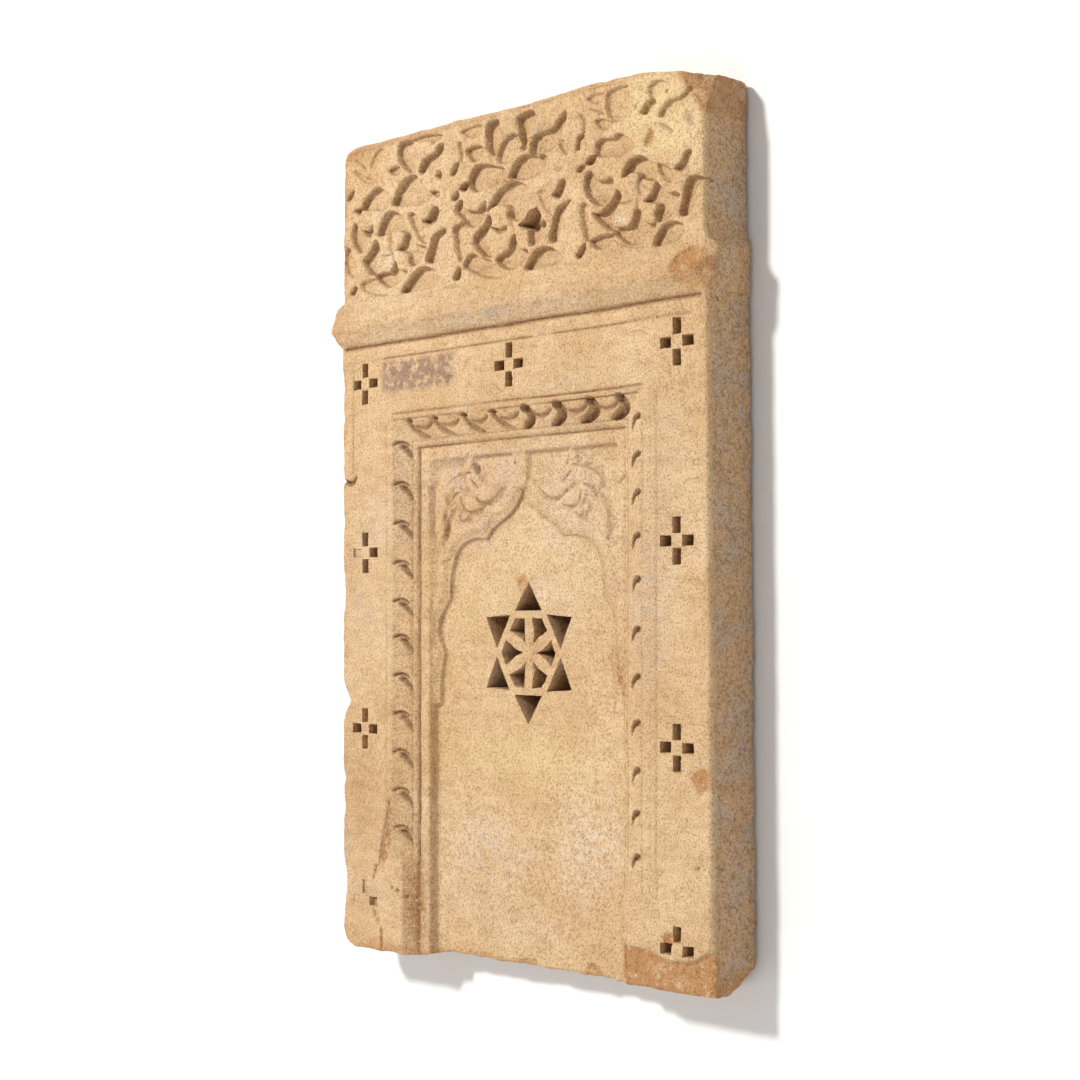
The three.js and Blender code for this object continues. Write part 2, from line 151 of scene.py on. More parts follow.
def inside_outline(x: np.ndarray, z: np.ndarray, corners: np.ndarray) -> np.ndarray:
    """Measures how far each place is from a closed outline.

    Args:
        x: Places across the panel.
        z: Heights.
        corners: The outline's corners, one row each.

    Returns:
        The distances, more than 0 inside the outline and less than 0 outside.
    """
    nearest = np.full(len(x), 1e9)
    crossings = np.zeros(len(x), bool)
    for (ax, az), (bx, bz) in zip(corners, np.roll(corners, -1, axis=0)):
        dx, dz = bx - ax, bz - az
        share = np.clip(((x - ax) * dx + (z - az) * dz) / (dx * dx + dz * dz + 1e-9), 0.0, 1.0)
        nearest = np.minimum(nearest, np.hypot(x - ax - share * dx, z - az - share * dz))
        if az != bz:
            crossings ^= ((az > z) != (bz > z)) & (x < ax + (z - az) * dx / dz)
    return np.where(crossings, nearest, -nearest)


def deepened_grid(columns: int, rows: int, rings: int) -> bmesh.types.BMesh:
    """Draws the border of an even grid back ring by ring and closes it behind.

    Args:
        columns: Faces across the grid.
        rows: Faces up the grid.
        rings: Number of rings round the sides.

    Returns:
        A closed block, 1 wide, 1 high and 1 deep for each ring.
    """
    bm = bmesh.new()
    bmesh.ops.create_grid(bm, x_segments=columns, y_segments=rows, size=0.5)
    for _ in range(rings):
        border = [edge for edge in bm.edges if edge.is_boundary]
        pulled = bmesh.ops.extrude_edge_only(bm, edges=border)["geom"]
        moved = [item for item in pulled if isinstance(item, bmesh.types.BMVert)]
        bmesh.ops.translate(bm, verts=moved, vec=(0.0, 0.0, -1.0))
    bmesh.ops.holes_fill(bm, edges=[edge for edge in bm.edges if edge.is_boundary], sides=0)
    bmesh.ops.recalc_face_normals(bm, faces=bm.faces)
    return bm


def mesh_of(bm: bmesh.types.BMesh, name: str) -> bpy.types.Mesh:
    """Keeps a bmesh as a mesh.

    Args:
        bm: The bmesh, which is freed.
        name: Name of the mesh.

    Returns:
        The mesh.
    """
    mesh = bpy.data.meshes.new(name)
    bm.to_mesh(mesh)
    bm.free()
    return mesh


def placed(name: str, data: bpy.types.ID) -> bpy.types.Object:
    """Makes an object at the origin.

    Args:
        name: Its name.
        data: Its mesh, light or camera.

    Returns:
        The object, linked to the scene.
    """
    item = bpy.data.objects.new(name, data)
    bpy.context.scene.collection.objects.link(item)
    return item


@dataclass(frozen=True)
class Stroke:
    """A tapered stroke of the chisel along a bent line.

    Attributes:
        start: Where it begins.
        bend: The point that the line bends towards.
        end: Where it ends.
        width: Full width in the middle.
        tips: Width at the two ends, as shares of the width.
    """

    start: Place
    bend: Place
    end: Place
    width: float
    tips: tuple[float, float] = (0.35, 0.35)

    def box(self, margin: float) -> Box:
        """Finds the box that holds the stroke.

        Args:
            margin: Room to leave round it.

        Returns:
            Left, right, foot and top.
        """
        xs, zs = zip(self.start, self.bend, self.end)
        pad = self.width / 2 + margin
        return min(xs) - pad, max(xs) + pad, min(zs) - pad, max(zs) + pad

    def inside(self, x: np.ndarray, z: np.ndarray, steps: int = 14) -> np.ndarray:
        """Measures how far each place is from the stroke's edge.

        Args:
            x: Places across the panel.
            z: Heights.
            steps: Number of places that the bent line is drawn through.

        Returns:
            The distances, more than 0 inside the stroke.
        """
        t = np.linspace(0.0, 1.0, steps)
        bends = [(1 - t) ** 2 * a + 2 * t * (1 - t) * b + t**2 * c
                 for a, b, c in zip(self.start, self.bend, self.end)]
        tip = np.where(t < 0.5, *self.tips)
        half = self.width / 2 * (tip + (1 - tip) * np.sqrt(np.sin(np.pi * t)))
        best = np.full(len(x), -1e9)
        for i in range(steps - 1):
            ax, az = bends[0][i], bends[1][i]
            dx, dz = bends[0][i + 1] - ax, bends[1][i + 1] - az
            share = np.clip(((x - ax) * dx + (z - az) * dz) / (dx * dx + dz * dz), 0.0, 1.0)
            reach = half[i] + (half[i + 1] - half[i]) * share
            best = np.maximum(best, reach - np.hypot(x - ax - share * dx, z - az - share * dz))
        return best


@dataclass
class Relief:
    """How deep the carving lies at a set of places on the front.

    Attributes:
        x: Places across the panel.
        z: Heights.
        depth: How far behind the outer face the stone lies at each place.
        hollow: How far each place is down in a sunk hollow, from 0 to 1; it also sets where the finish
            paints dirt and painted shade.
        crease: How dark each place is painted in a narrow groove, for its dirt and as painted shade, from 0
            to 1.
    """

    x: np.ndarray
    z: np.ndarray
    depth: np.ndarray = field(init=False)
    hollow: np.ndarray = field(init=False)
    crease: np.ndarray = field(init=False)

    def __post_init__(self) -> None:
        """Starts as an uncut face."""
        self.depth = np.zeros(len(self.x))
        self.hollow = np.zeros(len(self.x))
        self.crease = np.zeros(len(self.x))

    def score(self, where: np.ndarray, shade: np.ndarray) -> None:
        """Notes where a narrow groove is painted dark, for its dirt and as painted shade."""
        self.crease[where] = np.maximum(self.crease[where], shade)

    def within(self, left: float, right: float, foot: float, top: float) -> np.ndarray:
        """Numbers of the places inside a box."""
        held = (self.x > left) & (self.x < right) & (self.z > foot) & (self.z < top)
        return np.nonzero(held)[0]

    def sink(self, where: np.ndarray, inside: np.ndarray, depth: float, wall: float = 1.6) -> None:
        """Cuts a hollow down to a depth and wears the edge round it.

        Args:
            where: Numbers of the places near the hollow.
            inside: Distance to its edge at those places, more than 0 inside.
            depth: Depth of its floor behind the outer face.
            wall: Width that its wall takes up.
        """
        share = eased(inside, -wall * 0.4, wall * 0.6)
        worn = 0.6 * np.exp(-np.square(np.minimum(inside, 0.0) / 1.8)) * (1 - share)
        floor = depth * share + worn * min(1.0, depth / 6.0)
        self.depth[where] = np.maximum(self.depth[where], floor)
        # The hollow's share also marks where the finish paints dirt and painted shade.
        self.hollow[where] = np.maximum(self.hollow[where], share * min(1.0, depth / 7.0))

    def press(self, where: np.ndarray, amount: np.ndarray) -> None:
        """Takes a little more off the face at some places."""
        self.depth[where] += amount

    def lift(self, where: np.ndarray, inside: np.ndarray, depth: float, edge: float = 2.4) -> None:
        """Leaves a form standing at a depth, with soft worn edges.

        Args:
            where: Numbers of the places near the form.
            inside: Distance to its edge at those places, more than 0 inside.
            depth: Depth of its face behind the outer face.
            edge: Width of its worn edge.
        """
        share = eased(inside, -edge * 0.5, edge * 0.5)
        proud = self.depth[where] * (1 - share) + depth * share
        self.depth[where] = np.minimum(self.depth[where], proud)

    def groove(self, stroke: Stroke, depth: float) -> None:
        """Scores a narrow groove below the face that is already there.

        Args:
            stroke: The stroke of the chisel.
            depth: How far below that face it goes.
        """
        where = self.within(*stroke.box(2.5))
        inside = stroke.inside(self.x[where], self.z[where])
        self.press(where, depth * eased(inside, -0.9, 0.9))
        # Paints the groove dark: dirt in it, and painted shade.
        self.score(where, min(0.9, 0.4 * depth) * eased(inside, -0.8, 0.8))


@dataclass(frozen=True)
class Hollow:
    """One place of the frieze that is cut back to the ground: its corners and its depth."""

    corners: Outline
    depth: float = 9.0


LEFT_BAY: tuple[Hollow, ...] = (
    Hollow(((-182, 290), (-179, 298), (-174, 305), (-168, 310), (-157, 309), (-147, 303), (-141, 295),
            (-134, 285), (-130, 279), (-137, 280), (-143, 287), (-150, 290), (-160, 291), (-174, 289))),
    Hollow(((-205, 269), (-196, 274), (-190, 281), (-184, 286), (-180, 281), (-178, 273), (-182, 266),
            (-184, 260), (-182, 254), (-191, 254), (-199, 260))),
    Hollow(((-153, 273), (-146, 277), (-141, 285), (-135, 281), (-128, 275), (-112, 270), (-111, 266),
            (-117, 260), (-124, 256), (-133, 255), (-137, 261), (-138, 267), (-145, 270)), 8),
    Hollow(((-184, 252), (-172, 254), (-163, 253), (-159, 258), (-157, 262), (-154, 261), (-152, 255),
            (-146, 253), (-139, 252), (-141, 247), (-150, 242), (-163, 239), (-175, 243)), 8),
    Hollow(((-166, 289), (-161, 289), (-158, 281), (-162, 279), (-165, 283)), 4),
    Hollow(((-151, 368), (-146, 372), (-131, 371), (-129, 366), (-123, 358), (-121, 349), (-127, 343),
            (-136, 342), (-142, 346), (-147, 351), (-151, 358)), 8),
    Hollow(((-130, 371), (-115, 372.5), (-92, 370), (-90, 366), (-105, 366), (-120, 368)), 5),
    Hollow(((-104, 365), (-101, 367), (-98, 365), (-100, 362)), 5),
    Hollow(((-122, 341), (-117, 349), (-108, 353), (-100, 354), (-96, 360), (-87, 361), (-87, 354),
            (-95, 349), (-103, 346), (-110, 341), (-117, 338))),
    Hollow(((-166, 348), (-158, 351), (-150, 350), (-149, 344), (-157, 343)), 6),
    Hollow(((-194, 357), (-188, 366), (-180, 371), (-173, 369), (-178, 363), (-185, 356)), 4),
    Hollow(((-218, 357), (-208, 353), (-200, 348), (-191, 345), (-192, 341), (-203, 344), (-212, 350)), 4.5),
    Hollow(((-228, 331), (-223, 337), (-217, 338), (-219, 333), (-225, 329)), 8),
    Hollow(((-216, 318), (-211, 320), (-206, 319), (-206, 315), (-211, 314))),
    Hollow(((-206, 319), (-201, 328), (-192, 332), (-186, 335), (-180, 335), (-173, 331), (-166, 327),
            (-162, 320), (-168, 314), (-182, 314), (-192, 316), (-199, 316)), 8),
    Hollow(((-160, 316), (-154, 327), (-146, 335), (-137, 339), (-126, 338), (-122, 331), (-114, 325),
            (-106, 317), (-108, 312), (-122, 310), (-136, 312), (-148, 313))),
    Hollow(((-123, 332), (-119, 331), (-113, 324), (-117, 325)), 5),
    Hollow(((-98, 333), (-93, 337), (-89, 334), (-90, 329), (-95, 330)), 7),
    Hollow(((-107, 319), (-100, 320), (-93, 317), (-94, 313), (-100, 315)), 7),
    Hollow(((-204, 298), (-196, 296.5), (-189, 301), (-190, 292), (-196, 291)), 7),
    Hollow(((-221, 297), (-217, 307), (-212, 302), (-208, 291), (-203, 281), (-209, 277), (-218, 287)), 7),
    Hollow(((-137, 303), (-130, 304), (-123, 299), (-115, 291), (-107, 287), (-104, 280), (-110, 273),
            (-118, 275), (-125, 282), (-131, 292)), 6),
    Hollow(((-116, 294), (-108, 297), (-102, 304), (-95, 304), (-93, 298), (-97, 291), (-106, 290))),
    Hollow(((-112, 257), (-107, 267), (-104, 276), (-98, 281), (-85, 283), (-84, 279), (-93, 274),
            (-94, 265), (-97, 255), (-105, 254))),
    Hollow(((-147, 232), (-140, 240), (-131, 247), (-122, 252), (-112, 252), (-102, 248), (-92, 240),
            (-92, 234), (-110, 231.5), (-130, 231.5))),
    Hollow(((-208, 247), (-196, 250), (-186, 250), (-180, 245), (-184, 239), (-194, 238), (-204, 241)), 5),
    Hollow(((-223, 240), (-217, 246), (-213, 244), (-218, 238)), 7),
    Hollow(((-232, 276), (-226, 285), (-220, 278), (-215, 268), (-213, 258), (-220, 255), (-229, 262)), 5),
)
MIDDLE_BAY: tuple[Hollow, ...] = (
    Hollow(((-28, 290), (-24, 297), (-18, 303), (-10, 308), (3, 312), (15, 309), (27, 302), (34, 296),
            (38, 289), (37, 284), (31, 286), (22, 281), (14, 276), (7, 277), (-1, 281), (-1, 289),
            (-8, 293), (-20, 293))),
    Hollow(((-46, 270), (-38, 275), (-30, 281), (-27, 287), (-21, 281), (-22, 276), (-28, 271), (-31, 262),
            (-26, 254), (-22, 249), (-33, 251), (-42, 258), (-47, 265))),
    Hollow(((-21, 275), (-12, 272.5), (-3, 274), (-2, 270), (-8, 268), (-15, 270)), 6),
    Hollow(((14, 272), (20, 274), (26, 281), (30, 286), (36, 283), (41, 275), (36, 268), (30, 265),
            (22, 268)), 17),
    Hollow(((27, 266), (36, 268), (44, 272), (47, 268), (46, 260), (40, 254), (33, 252), (27, 252),
            (26, 258)), 8),
    Hollow(((-16, 247), (-8, 250), (0, 253), (3, 261), (8, 265), (10, 258), (14, 251), (22, 250),
            (25, 247), (22, 241), (10, 235), (-4, 236), (-14, 242)), 8),
    Hollow(((-64, 367), (-50, 369.5), (-35, 368), (-35, 361), (-42, 358), (-52, 360), (-60, 364)), 5),
    Hollow(((-27, 368), (-14, 369), (-11, 362), (-9, 352), (-13, 342), (-18, 338), (-24, 340), (-28, 347),
            (-29, 358))),
    Hollow(((-56, 349), (-47, 351), (-36, 350), (-32, 344), (-36, 337), (-47, 337), (-53, 343)), 7),
    Hollow(((-68, 358), (-62, 357), (-60, 348), (-59, 342), (-64, 340), (-65, 350)), 5),
    Hollow(((-77, 331), (-72, 338), (-66, 340), (-67, 333), (-73, 329))),
    Hollow(((-65, 316), (-59, 320), (-53, 319.5), (-53, 314), (-60, 313))),
    Hollow(((-76, 308), (-72, 313), (-67, 314), (-66, 309), (-71, 306))),
    Hollow(((-52, 318), (-48, 328), (-42, 333), (-35, 333), (-25, 331), (-15, 328), (-6, 325), (-1, 318),
            (-4, 312), (-20, 311), (-36, 310), (-45, 310)), 8),
    Hollow(((1, 316), (6, 325), (13, 331), (24, 332), (35, 329), (42, 322), (43, 316), (34, 311),
            (20, 311), (10, 313))),
    Hollow(((-14, 336), (-8, 347), (-1, 351), (7, 353), (13, 350), (14, 343), (12, 336), (6, 330),
            (-4, 329), (-12, 330)), 6),
    Hollow(((12, 366), (24, 369.5), (34, 367), (34, 358), (31, 350), (28, 342), (20, 336), (14, 341),
            (15, 352), (12, 360))),
    Hollow(((28, 333), (31, 345), (42, 348), (55, 349), (62, 355), (72, 361), (73, 354), (67, 345),
            (64, 336), (56, 331), (45, 330), (36, 330)), 8),
    Hollow(((63, 335), (69, 337), (76, 326), (71, 324)), 5),
    Hollow(((39, 326), (44, 329), (50, 324), (48, 318), (42, 319)), 6),
    Hollow(((59, 314.5), (68, 313), (67, 310.5), (60, 312)), 3),
    Hollow(((-72, 298), (-66, 305), (-60, 304), (-59, 297), (-50, 294), (-40, 293), (-30, 300), (-30, 291),
            (-33, 284), (-42, 279), (-54, 281), (-64, 290)), 8),
    Hollow(((-73, 282), (-62, 285), (-57, 280), (-60, 273), (-61, 262), (-60, 252), (-66, 251), (-70, 262),
            (-72, 272)), 7),
    Hollow(((38, 298), (47, 297), (52, 288), (56, 275), (47, 279), (41, 288)), 4),
    Hollow(((55, 292), (60, 296), (64, 302), (70, 303), (71, 296), (67, 289), (61, 288))),
    Hollow(((52, 254), (54, 265), (58, 277), (66, 282), (79, 284), (72, 278), (67, 270), (66, 258),
            (62, 252), (55, 251))),
    Hollow(((-60, 245), (-55, 253), (-46, 255), (-37, 250), (-30, 248), (-21, 244), (-22, 238), (-34, 236),
            (-46, 238), (-54, 242)), 7),
    Hollow(((-74, 236), (-68, 244), (-63, 244), (-64, 236), (-70, 234)), 8),
    Hollow(((22, 232), (27, 241), (35, 247), (44, 249), (54, 247), (61, 243), (69, 236), (62, 232),
            (45, 231.5))),
)
RIGHT_BAY: tuple[Hollow, ...] = (
    Hollow(((139, 294), (143, 302), (150, 307), (160, 308), (168, 303), (174, 298), (179, 291), (177, 286),
            (170, 286), (163, 289), (158, 286), (158, 293), (150, 296), (144, 294))),
    Hollow(((105, 269), (112, 268), (122, 273), (130, 279), (133, 284), (138, 278), (134, 271), (130, 265),
            (128, 257), (131, 252), (124, 252), (115, 258), (108, 264))),
    Hollow(((164, 270), (171, 274), (177, 284), (183, 279), (190, 273), (202, 271), (203, 262), (197, 256),
            (189, 252), (179, 251), (177, 258), (180, 265), (174, 267)), 8),
    Hollow(((130, 253), (140, 252), (147, 253), (152, 258), (154, 264), (160, 263), (162, 256), (168, 251),
            (178, 250), (176, 246), (170, 240), (160, 236), (146, 237), (136, 243), (130, 248)), 8),
    Hollow(((98, 366), (106, 368.5), (117, 367), (119, 362), (112, 359), (103, 362)), 4),
    Hollow(((122, 367), (144, 369), (146, 364), (150, 360), (152, 352), (147, 345), (140, 341), (131, 341),
            (124, 346), (121, 355)), 5),
    Hollow(((168, 361), (175, 366), (187, 364), (188, 358), (180, 354), (172, 352)), 5),
    Hollow(((150, 347), (155, 347.5), (155, 350), (150, 350.5)), 6),
    Hollow(((160, 344), (167, 351), (174, 353), (177, 347), (170, 341), (163, 341)), 7),
    Hollow(((180, 337), (186, 345), (194, 348), (203, 348), (210, 352), (216, 355), (217, 349), (208, 340),
            (197, 337), (187, 335)), 6),
    Hollow(((108, 346), (117, 346), (127, 341), (126, 337), (116, 337), (111, 341)), 5),
    Hollow(((84, 326), (86, 335), (92, 338), (95, 335), (90, 331), (89, 325))),
    Hollow(((96, 312), (101, 317), (109, 316.5), (107, 311), (100, 310))),
    Hollow(((84, 308), (89, 312), (95, 311), (92, 306), (87, 306)), 7),
    Hollow(((108, 318), (108, 326), (115, 330), (127, 328), (135, 331), (142, 327), (149, 322), (153, 316),
            (140, 312), (127, 313), (115, 314)), 7),
    Hollow(((95, 290), (96, 302), (103, 304), (108, 296), (118, 294.5), (127, 295), (129, 288), (126, 278),
            (118, 274), (108, 275), (100, 282)), 8),
    Hollow(((90, 277), (97, 278), (99, 265), (102, 250), (96, 247), (92, 260)), 6),
    Hollow(((101, 246), (110, 248), (118, 249), (128, 248), (128, 243), (120, 238), (110, 238)), 7),
    Hollow(((85, 235), (90, 242), (96, 245), (96, 239), (90, 233)), 8),
    Hollow(((175, 232), (180, 242), (186, 248), (196, 249), (205, 246), (209, 239), (202, 233),
            (188, 231.5)), 8),
    Hollow(((203, 253), (206, 265), (209, 277), (214, 282), (222, 282), (230, 278), (223, 273), (219, 266),
            (218, 257), (212, 252))),
    Hollow(((198, 291), (205, 296), (209, 303), (215, 304), (216, 296), (211, 289), (204, 288)), 7),
    Hollow(((179, 298), (186, 296), (194, 291), (199, 283), (191, 281), (184, 288)), 5),
    Hollow(((87, 356), (95, 352), (99, 344), (96, 338), (92, 341), (93, 348)), 4),
    Hollow(((210, 336), (214, 334), (220, 325), (216, 324)), 3),
)
VEINS: tuple[Stroke, ...] = (
    Stroke((-45, 238), (-28, 230), (-9, 228.5), 2.0),
    Stroke((-3, 284), (3, 277), (8, 268), 1.8),
    Stroke((136, 273), (143, 270), (152, 273), 1.8),
    Stroke((159, 289), (156, 282), (161, 275), 3.4),
    Stroke((157, 273), (158, 267), (157, 262), 1.6),
    Stroke((128, 244), (140, 234), (166, 231.5), 1.6),
    Stroke((-206, 242), (-188, 233), (-166, 231.5), 1.6),
    Stroke((-163, 279), (-162, 272), (-156, 263), 1.8),
    Stroke((-178, 271), (-168, 268), (-158, 270), 1.6),
    Stroke((183, 330), (190, 326), (197, 321), 2.4),
    Stroke((100, 357), (110, 354), (119, 349), 2.2),
    Stroke((-215, 366), (-206, 362), (-199, 354), 2.0),
)


@dataclass
class Frieze:
    """The vine frieze: three bays, each with a flower in a ring."""

    bays: tuple[tuple[Hollow, ...], ...] = (LEFT_BAY, MIDDLE_BAY, RIGHT_BAY)
    veins: tuple[Stroke, ...] = VEINS
    vein_depth: float = 1.6
    foot: float = 230.0
    top: float = 369.0

    def carve(self, relief: Relief) -> None:
        """Cuts the ground away round the vine and leaves the flowers standing.

        Args:
            relief: The relief it is cut into.
        """
        for bay in self.bays:
            for hollow in bay:
                self.cut(relief, hollow)
        where = relief.within(-240, 240, self.foot, self.top + 4)
        places = (relief.x[where], np.zeros(len(where)), relief.z[where])
        uncut = 1.0 - relief.hollow[where]
        relief.press(where, uncut * (0.8 + 1.0 * grain(places, 17.0, 31) + 0.6 * grain(places, 7.0, 33, 2)))
        relief.press(where, relief.hollow[where] * 0.9 * grain(places, 5.0, 37, 2))
        for vein in self.veins:
            relief.groove(vein, self.vein_depth)

    def cut(self, relief: Relief, hollow: Hollow) -> None:
        """Cuts one hollow.

        Args:
            relief: The relief it is cut into.
            hollow: Its corners and its depth.
        """
        corners = smoothed(hollow.corners)
        low, high = corners.min(axis=0) - 5, corners.max(axis=0) + 5
        where = relief.within(low[0], high[0], low[1], high[1])
        inside = inside_outline(relief.x[where], relief.z[where], corners)
        relief.sink(where, inside, hollow.depth)


@dataclass
class Ledge:
    """The sloping ledge under the frieze, with its nose, its hollow underside and its ends."""

    foot: float = 187.0
    reach: float = 12.0
    side_reach: float = 9.0
    heights: tuple[float, ...] = (187.0, 192.2, 198.0, 202.0, 205.0, 208.8, 217.5, 226.0, 230.5)
    shares: tuple[float, ...] = (0.0, 0.36, 0.68, 0.95, 1.0, 0.88, 0.45, 0.13, 0.0)
    end_heights: tuple[float, ...] = (187.0, 193.0, 202.5, 207.0, 216.0, 222.5, 226.5, 231.0)
    end_shares: tuple[float, ...] = (0.0, 0.42, 0.8, 0.72, 0.9, 1.0, 0.85, 0.0)
    root_groove: float = 3.2
    groove_half: float = 228.0
    wear: float = 1.3
    nick_depth: float = 5.0

    def profile(self, z: np.ndarray) -> np.ndarray:
        """How far the ledge stands out at a height, as a share of its reach."""
        return np.interp(z, self.heights, self.shares, left=0.0, right=0.0)

    def end_profile(self, z: np.ndarray) -> np.ndarray:
        """How far its ends stand out past the sides, as a share of the reach at the side."""
        return np.interp(z, self.end_heights, self.end_shares, left=0.0, right=0.0)

    def carve(self, relief: Relief) -> None:
        """Stands the ledge proud of the face, with a worn and nicked nose.

        Args:
            relief: The relief it stands on.
        """
        where = relief.within(-250, 250, self.foot - 6, self.heights[-1] + 2)
        x, z = relief.x[where], relief.z[where]
        places = (x, np.zeros(len(x)), z * 0.4)
        waver = 0.9 * grain((x, np.zeros(len(x)), np.zeros(len(x))), 34.0, 41)
        nicks = np.clip(grain(places, 9.0, 43, 3) - 0.28, 0.0, 1.0) * self.nick_depth
        share = self.profile(z + waver)
        relief.press(where, -share * (self.reach - self.wear - nicks * share * share))
        groove = np.exp(-np.square((z - self.foot + 0.6 + waver * 0.5) / 1.5))
        groove = groove * (np.abs(x) < self.groove_half)
        relief.press(where, self.root_groove * groove)
        # Paints the groove under the nose dark: dirt in it, and painted shade under the ledge.
        relief.score(where, groove)
        relief.press(where, 1.1 * share * grain((x * 0.6, z * 0, z * 2.0), 7.0, 47, 3))


@dataclass
class SteppedFrame:
    """The frame round the niche: leaf band, bead and flat band, stepping back to the spandrels."""

    frame_half: float = 158.0
    frame_top: float = 112.5
    bead_half: float = 139.0
    bead_top: float = 94.0
    bead_width: float = 5.5
    flat_width: float = 12.5
    leaf_depth: float = 8.4
    bead_depth: float = 10.8
    flat_depth: float = 13.2
    spandrel_depth: float = SPANDREL_DEPTH
    plain_foot: float = -294.5
    plain_half: float = 143.0

    def carve(self, relief: Relief) -> None:
        """Steps the face back, one band after another.

        Args:
            relief: The relief it is cut into.
        """
        where = relief.within(-170, 170, -400, 122)
        x, z = relief.x[where], relief.z[where]
        sway = 0.7 * grain((x * 0, z * 0, z), 48.0, 53, 2)
        rise = 0.7 * grain((x, z * 0, z * 0), 48.0, 57, 2)
        across, up = np.abs(x + sway), z + rise
        leaf = np.minimum((self.frame_half - across) / (self.frame_half - self.bead_half),
                          (self.frame_top - up) / (self.frame_top - self.bead_top))
        plain = (self.plain_half - across) / (self.plain_half - self.bead_half + self.bead_width)
        turning = eased(-z, -self.plain_foot - 2, -self.plain_foot + 3)
        share = np.clip(leaf * (1 - turning) + plain * turning, 0.0, 1.0)
        depth = self.leaf_depth * share ** 0.8
        bead = np.minimum(self.bead_half - across, self.bead_top - up)
        depth += 0.9 * np.exp(-np.square(bead / 0.9)) * (1 - turning)
        bead_rise = self.bead_depth - self.leaf_depth
        depth += bead_rise * eased(bead, 0.0, self.bead_width) * (1 - turning) + bead_rise * turning * share
        flat = bead - self.bead_width
        depth += (self.flat_depth - self.bead_depth) * eased(flat, -0.7, 1.1)
        depth += 1.2 * np.exp(-np.square((flat - 0.4) / 1.0)) * (1 - turning)
        niche = flat - self.flat_width
        sharp = eased(z, -2.0, 8.0) * eased(-z, -58.0, -46.0)
        soft = eased(-x, 60.0, 96.0) * (1.0 - sharp)
        depth += (self.spandrel_depth - self.flat_depth) * eased(niche, -1.2, 3.4 + 8.0 * soft)
        relief.press(where, depth)
        # Painted dark lines along the steps: dirt in them, and painted shade at each step's foot and under
        # the top of the frame.
        worn = 0.6 + 0.4 * eased(grain((x, z * 0, z), 30.0, 59, 2), -0.3, 0.3)
        relief.score(where, 0.95 * worn * np.exp(-np.square((flat - 0.6) / 1.0)))
        above = eased(up, self.bead_top - 24.0, self.bead_top - 14.0)
        shadow = np.exp(-np.square((niche - 1.6) / (1.8 - 0.7 * above)))
        relief.score(where, (0.25 + 0.6 * above) * worn * shadow)
        relief.score(where, 0.5 * worn * np.exp(-np.square(bead / 0.8)) * (1 - turning))


@dataclass
class LeafBand:
    """The overlapping leaves cut across the band of the frame."""

    left_sides: tuple[float, ...] = (93, 55.5, 19, -18, -53.5, -87, -123, -158.5, -194, -230, -265)
    right_sides: tuple[float, ...] = (94, 63, 31.5, -4, -40, -81, -120, -158, -197, -232, -268)
    left_tops: tuple[float, ...] = (-134.0, -98.0, -58.0, -19.0)
    right_tops: tuple[tuple[float, float], ...] = ((22.0, 9.0), (62.0, 13.0), (102.0, 18.0), (137.0, 16.0))
    top: float = 113.0
    smiles: tuple[float, ...] = (-116.0, -79.0, -41.0, -1.0, 41.0, 84.0, 121.0)

    def carve(self, relief: Relief) -> None:
        """Cuts the crescents that part one leaf from the next.

        Args:
            relief: The relief they are cut into.
        """
        for z in self.left_sides:
            self.left_leaf(relief, z)
        for z in self.right_sides:
            self.cut(relief, Stroke((159, z + 1), (150, z + 2.5), (147, z - 9), 4.8, (1.0, 0.15)), 5.4, 1.0)
        for x in self.left_tops:
            cap = Stroke((x - 7, self.top - 0.8), (x, self.top - 0.6), (x + 4, self.top - 1.4), 3.0)
            cut = Stroke((x - 2, self.top - 1), (x + 3, self.top - 14), (x + 22, self.top - 17.5),
                         5.4, (0.9, 0.1))
            self.cut(relief, cap, 3.0, 1.0)
            self.cut(relief, cut, 4.6, 0.75)
        for x, reach in self.right_tops:
            cut = Stroke((x - 2, self.top - 1), (x + 15, self.top - 9), (x - reach, self.top - 17.5),
                         7.6 + reach * 0.1, (0.8, 0.1))
            self.cut(relief, cut, 7.5, 1.0)
        for x in self.smiles:
            smile = Stroke((x - 12, self.top - 6), (x + 1, self.top - 12), (x + 12, self.top - 4),
                           3.8, (0.2, 0.5))
            self.cut(relief, smile, 2.9, 0.75)

    def left_leaf(self, relief: Relief, z: float) -> None:
        """Cuts one pair of crescents down the left side and lets the leaf below rise out of them.

        Args:
            relief: The relief they are cut into.
            z: Height of the leaf's tip.
        """
        self.cut(relief, Stroke((-158, z - 2), (-152, z + 3), (-143, z - 3), 3.2, (0.4, 0.6)), 3.6, 1.0)
        wedge = Stroke((-151, z - 4), (-144, z - 6), (-140, z - 16), 5.0, (0.4, 0.6))
        self.cut(relief, wedge, 4.4, 0.95)
        where = relief.within(-158, -134, z - 32, z)
        x, zs = relief.x[where], relief.z[where]
        fall = wedge.inside(x, zs)
        below = (zs < z - 7 - (x + 151) * 0.9) & (fall < 0)
        relief.press(where, 1.5 * np.exp(fall / 6.0) * below * eased(x, -158.0, -154.0))

    def cut(self, relief: Relief, stroke: Stroke, depth: float, shade: float) -> None:
        """Cuts one stroke below the band's own slope.

        Args:
            relief: The relief it is cut into.
            stroke: The stroke of the chisel.
            depth: How far below the band it goes.
            shade: How dark it is painted, for its dirt and as painted shade, as a hollow is.
        """
        where = relief.within(*stroke.box(3.0))
        floor = eased(stroke.inside(relief.x[where], relief.z[where]), -0.8, 1.0)
        relief.press(where, depth * floor)
        # Paints the cut dark: dirt in it, and painted shade.
        relief.score(where, shade * floor)


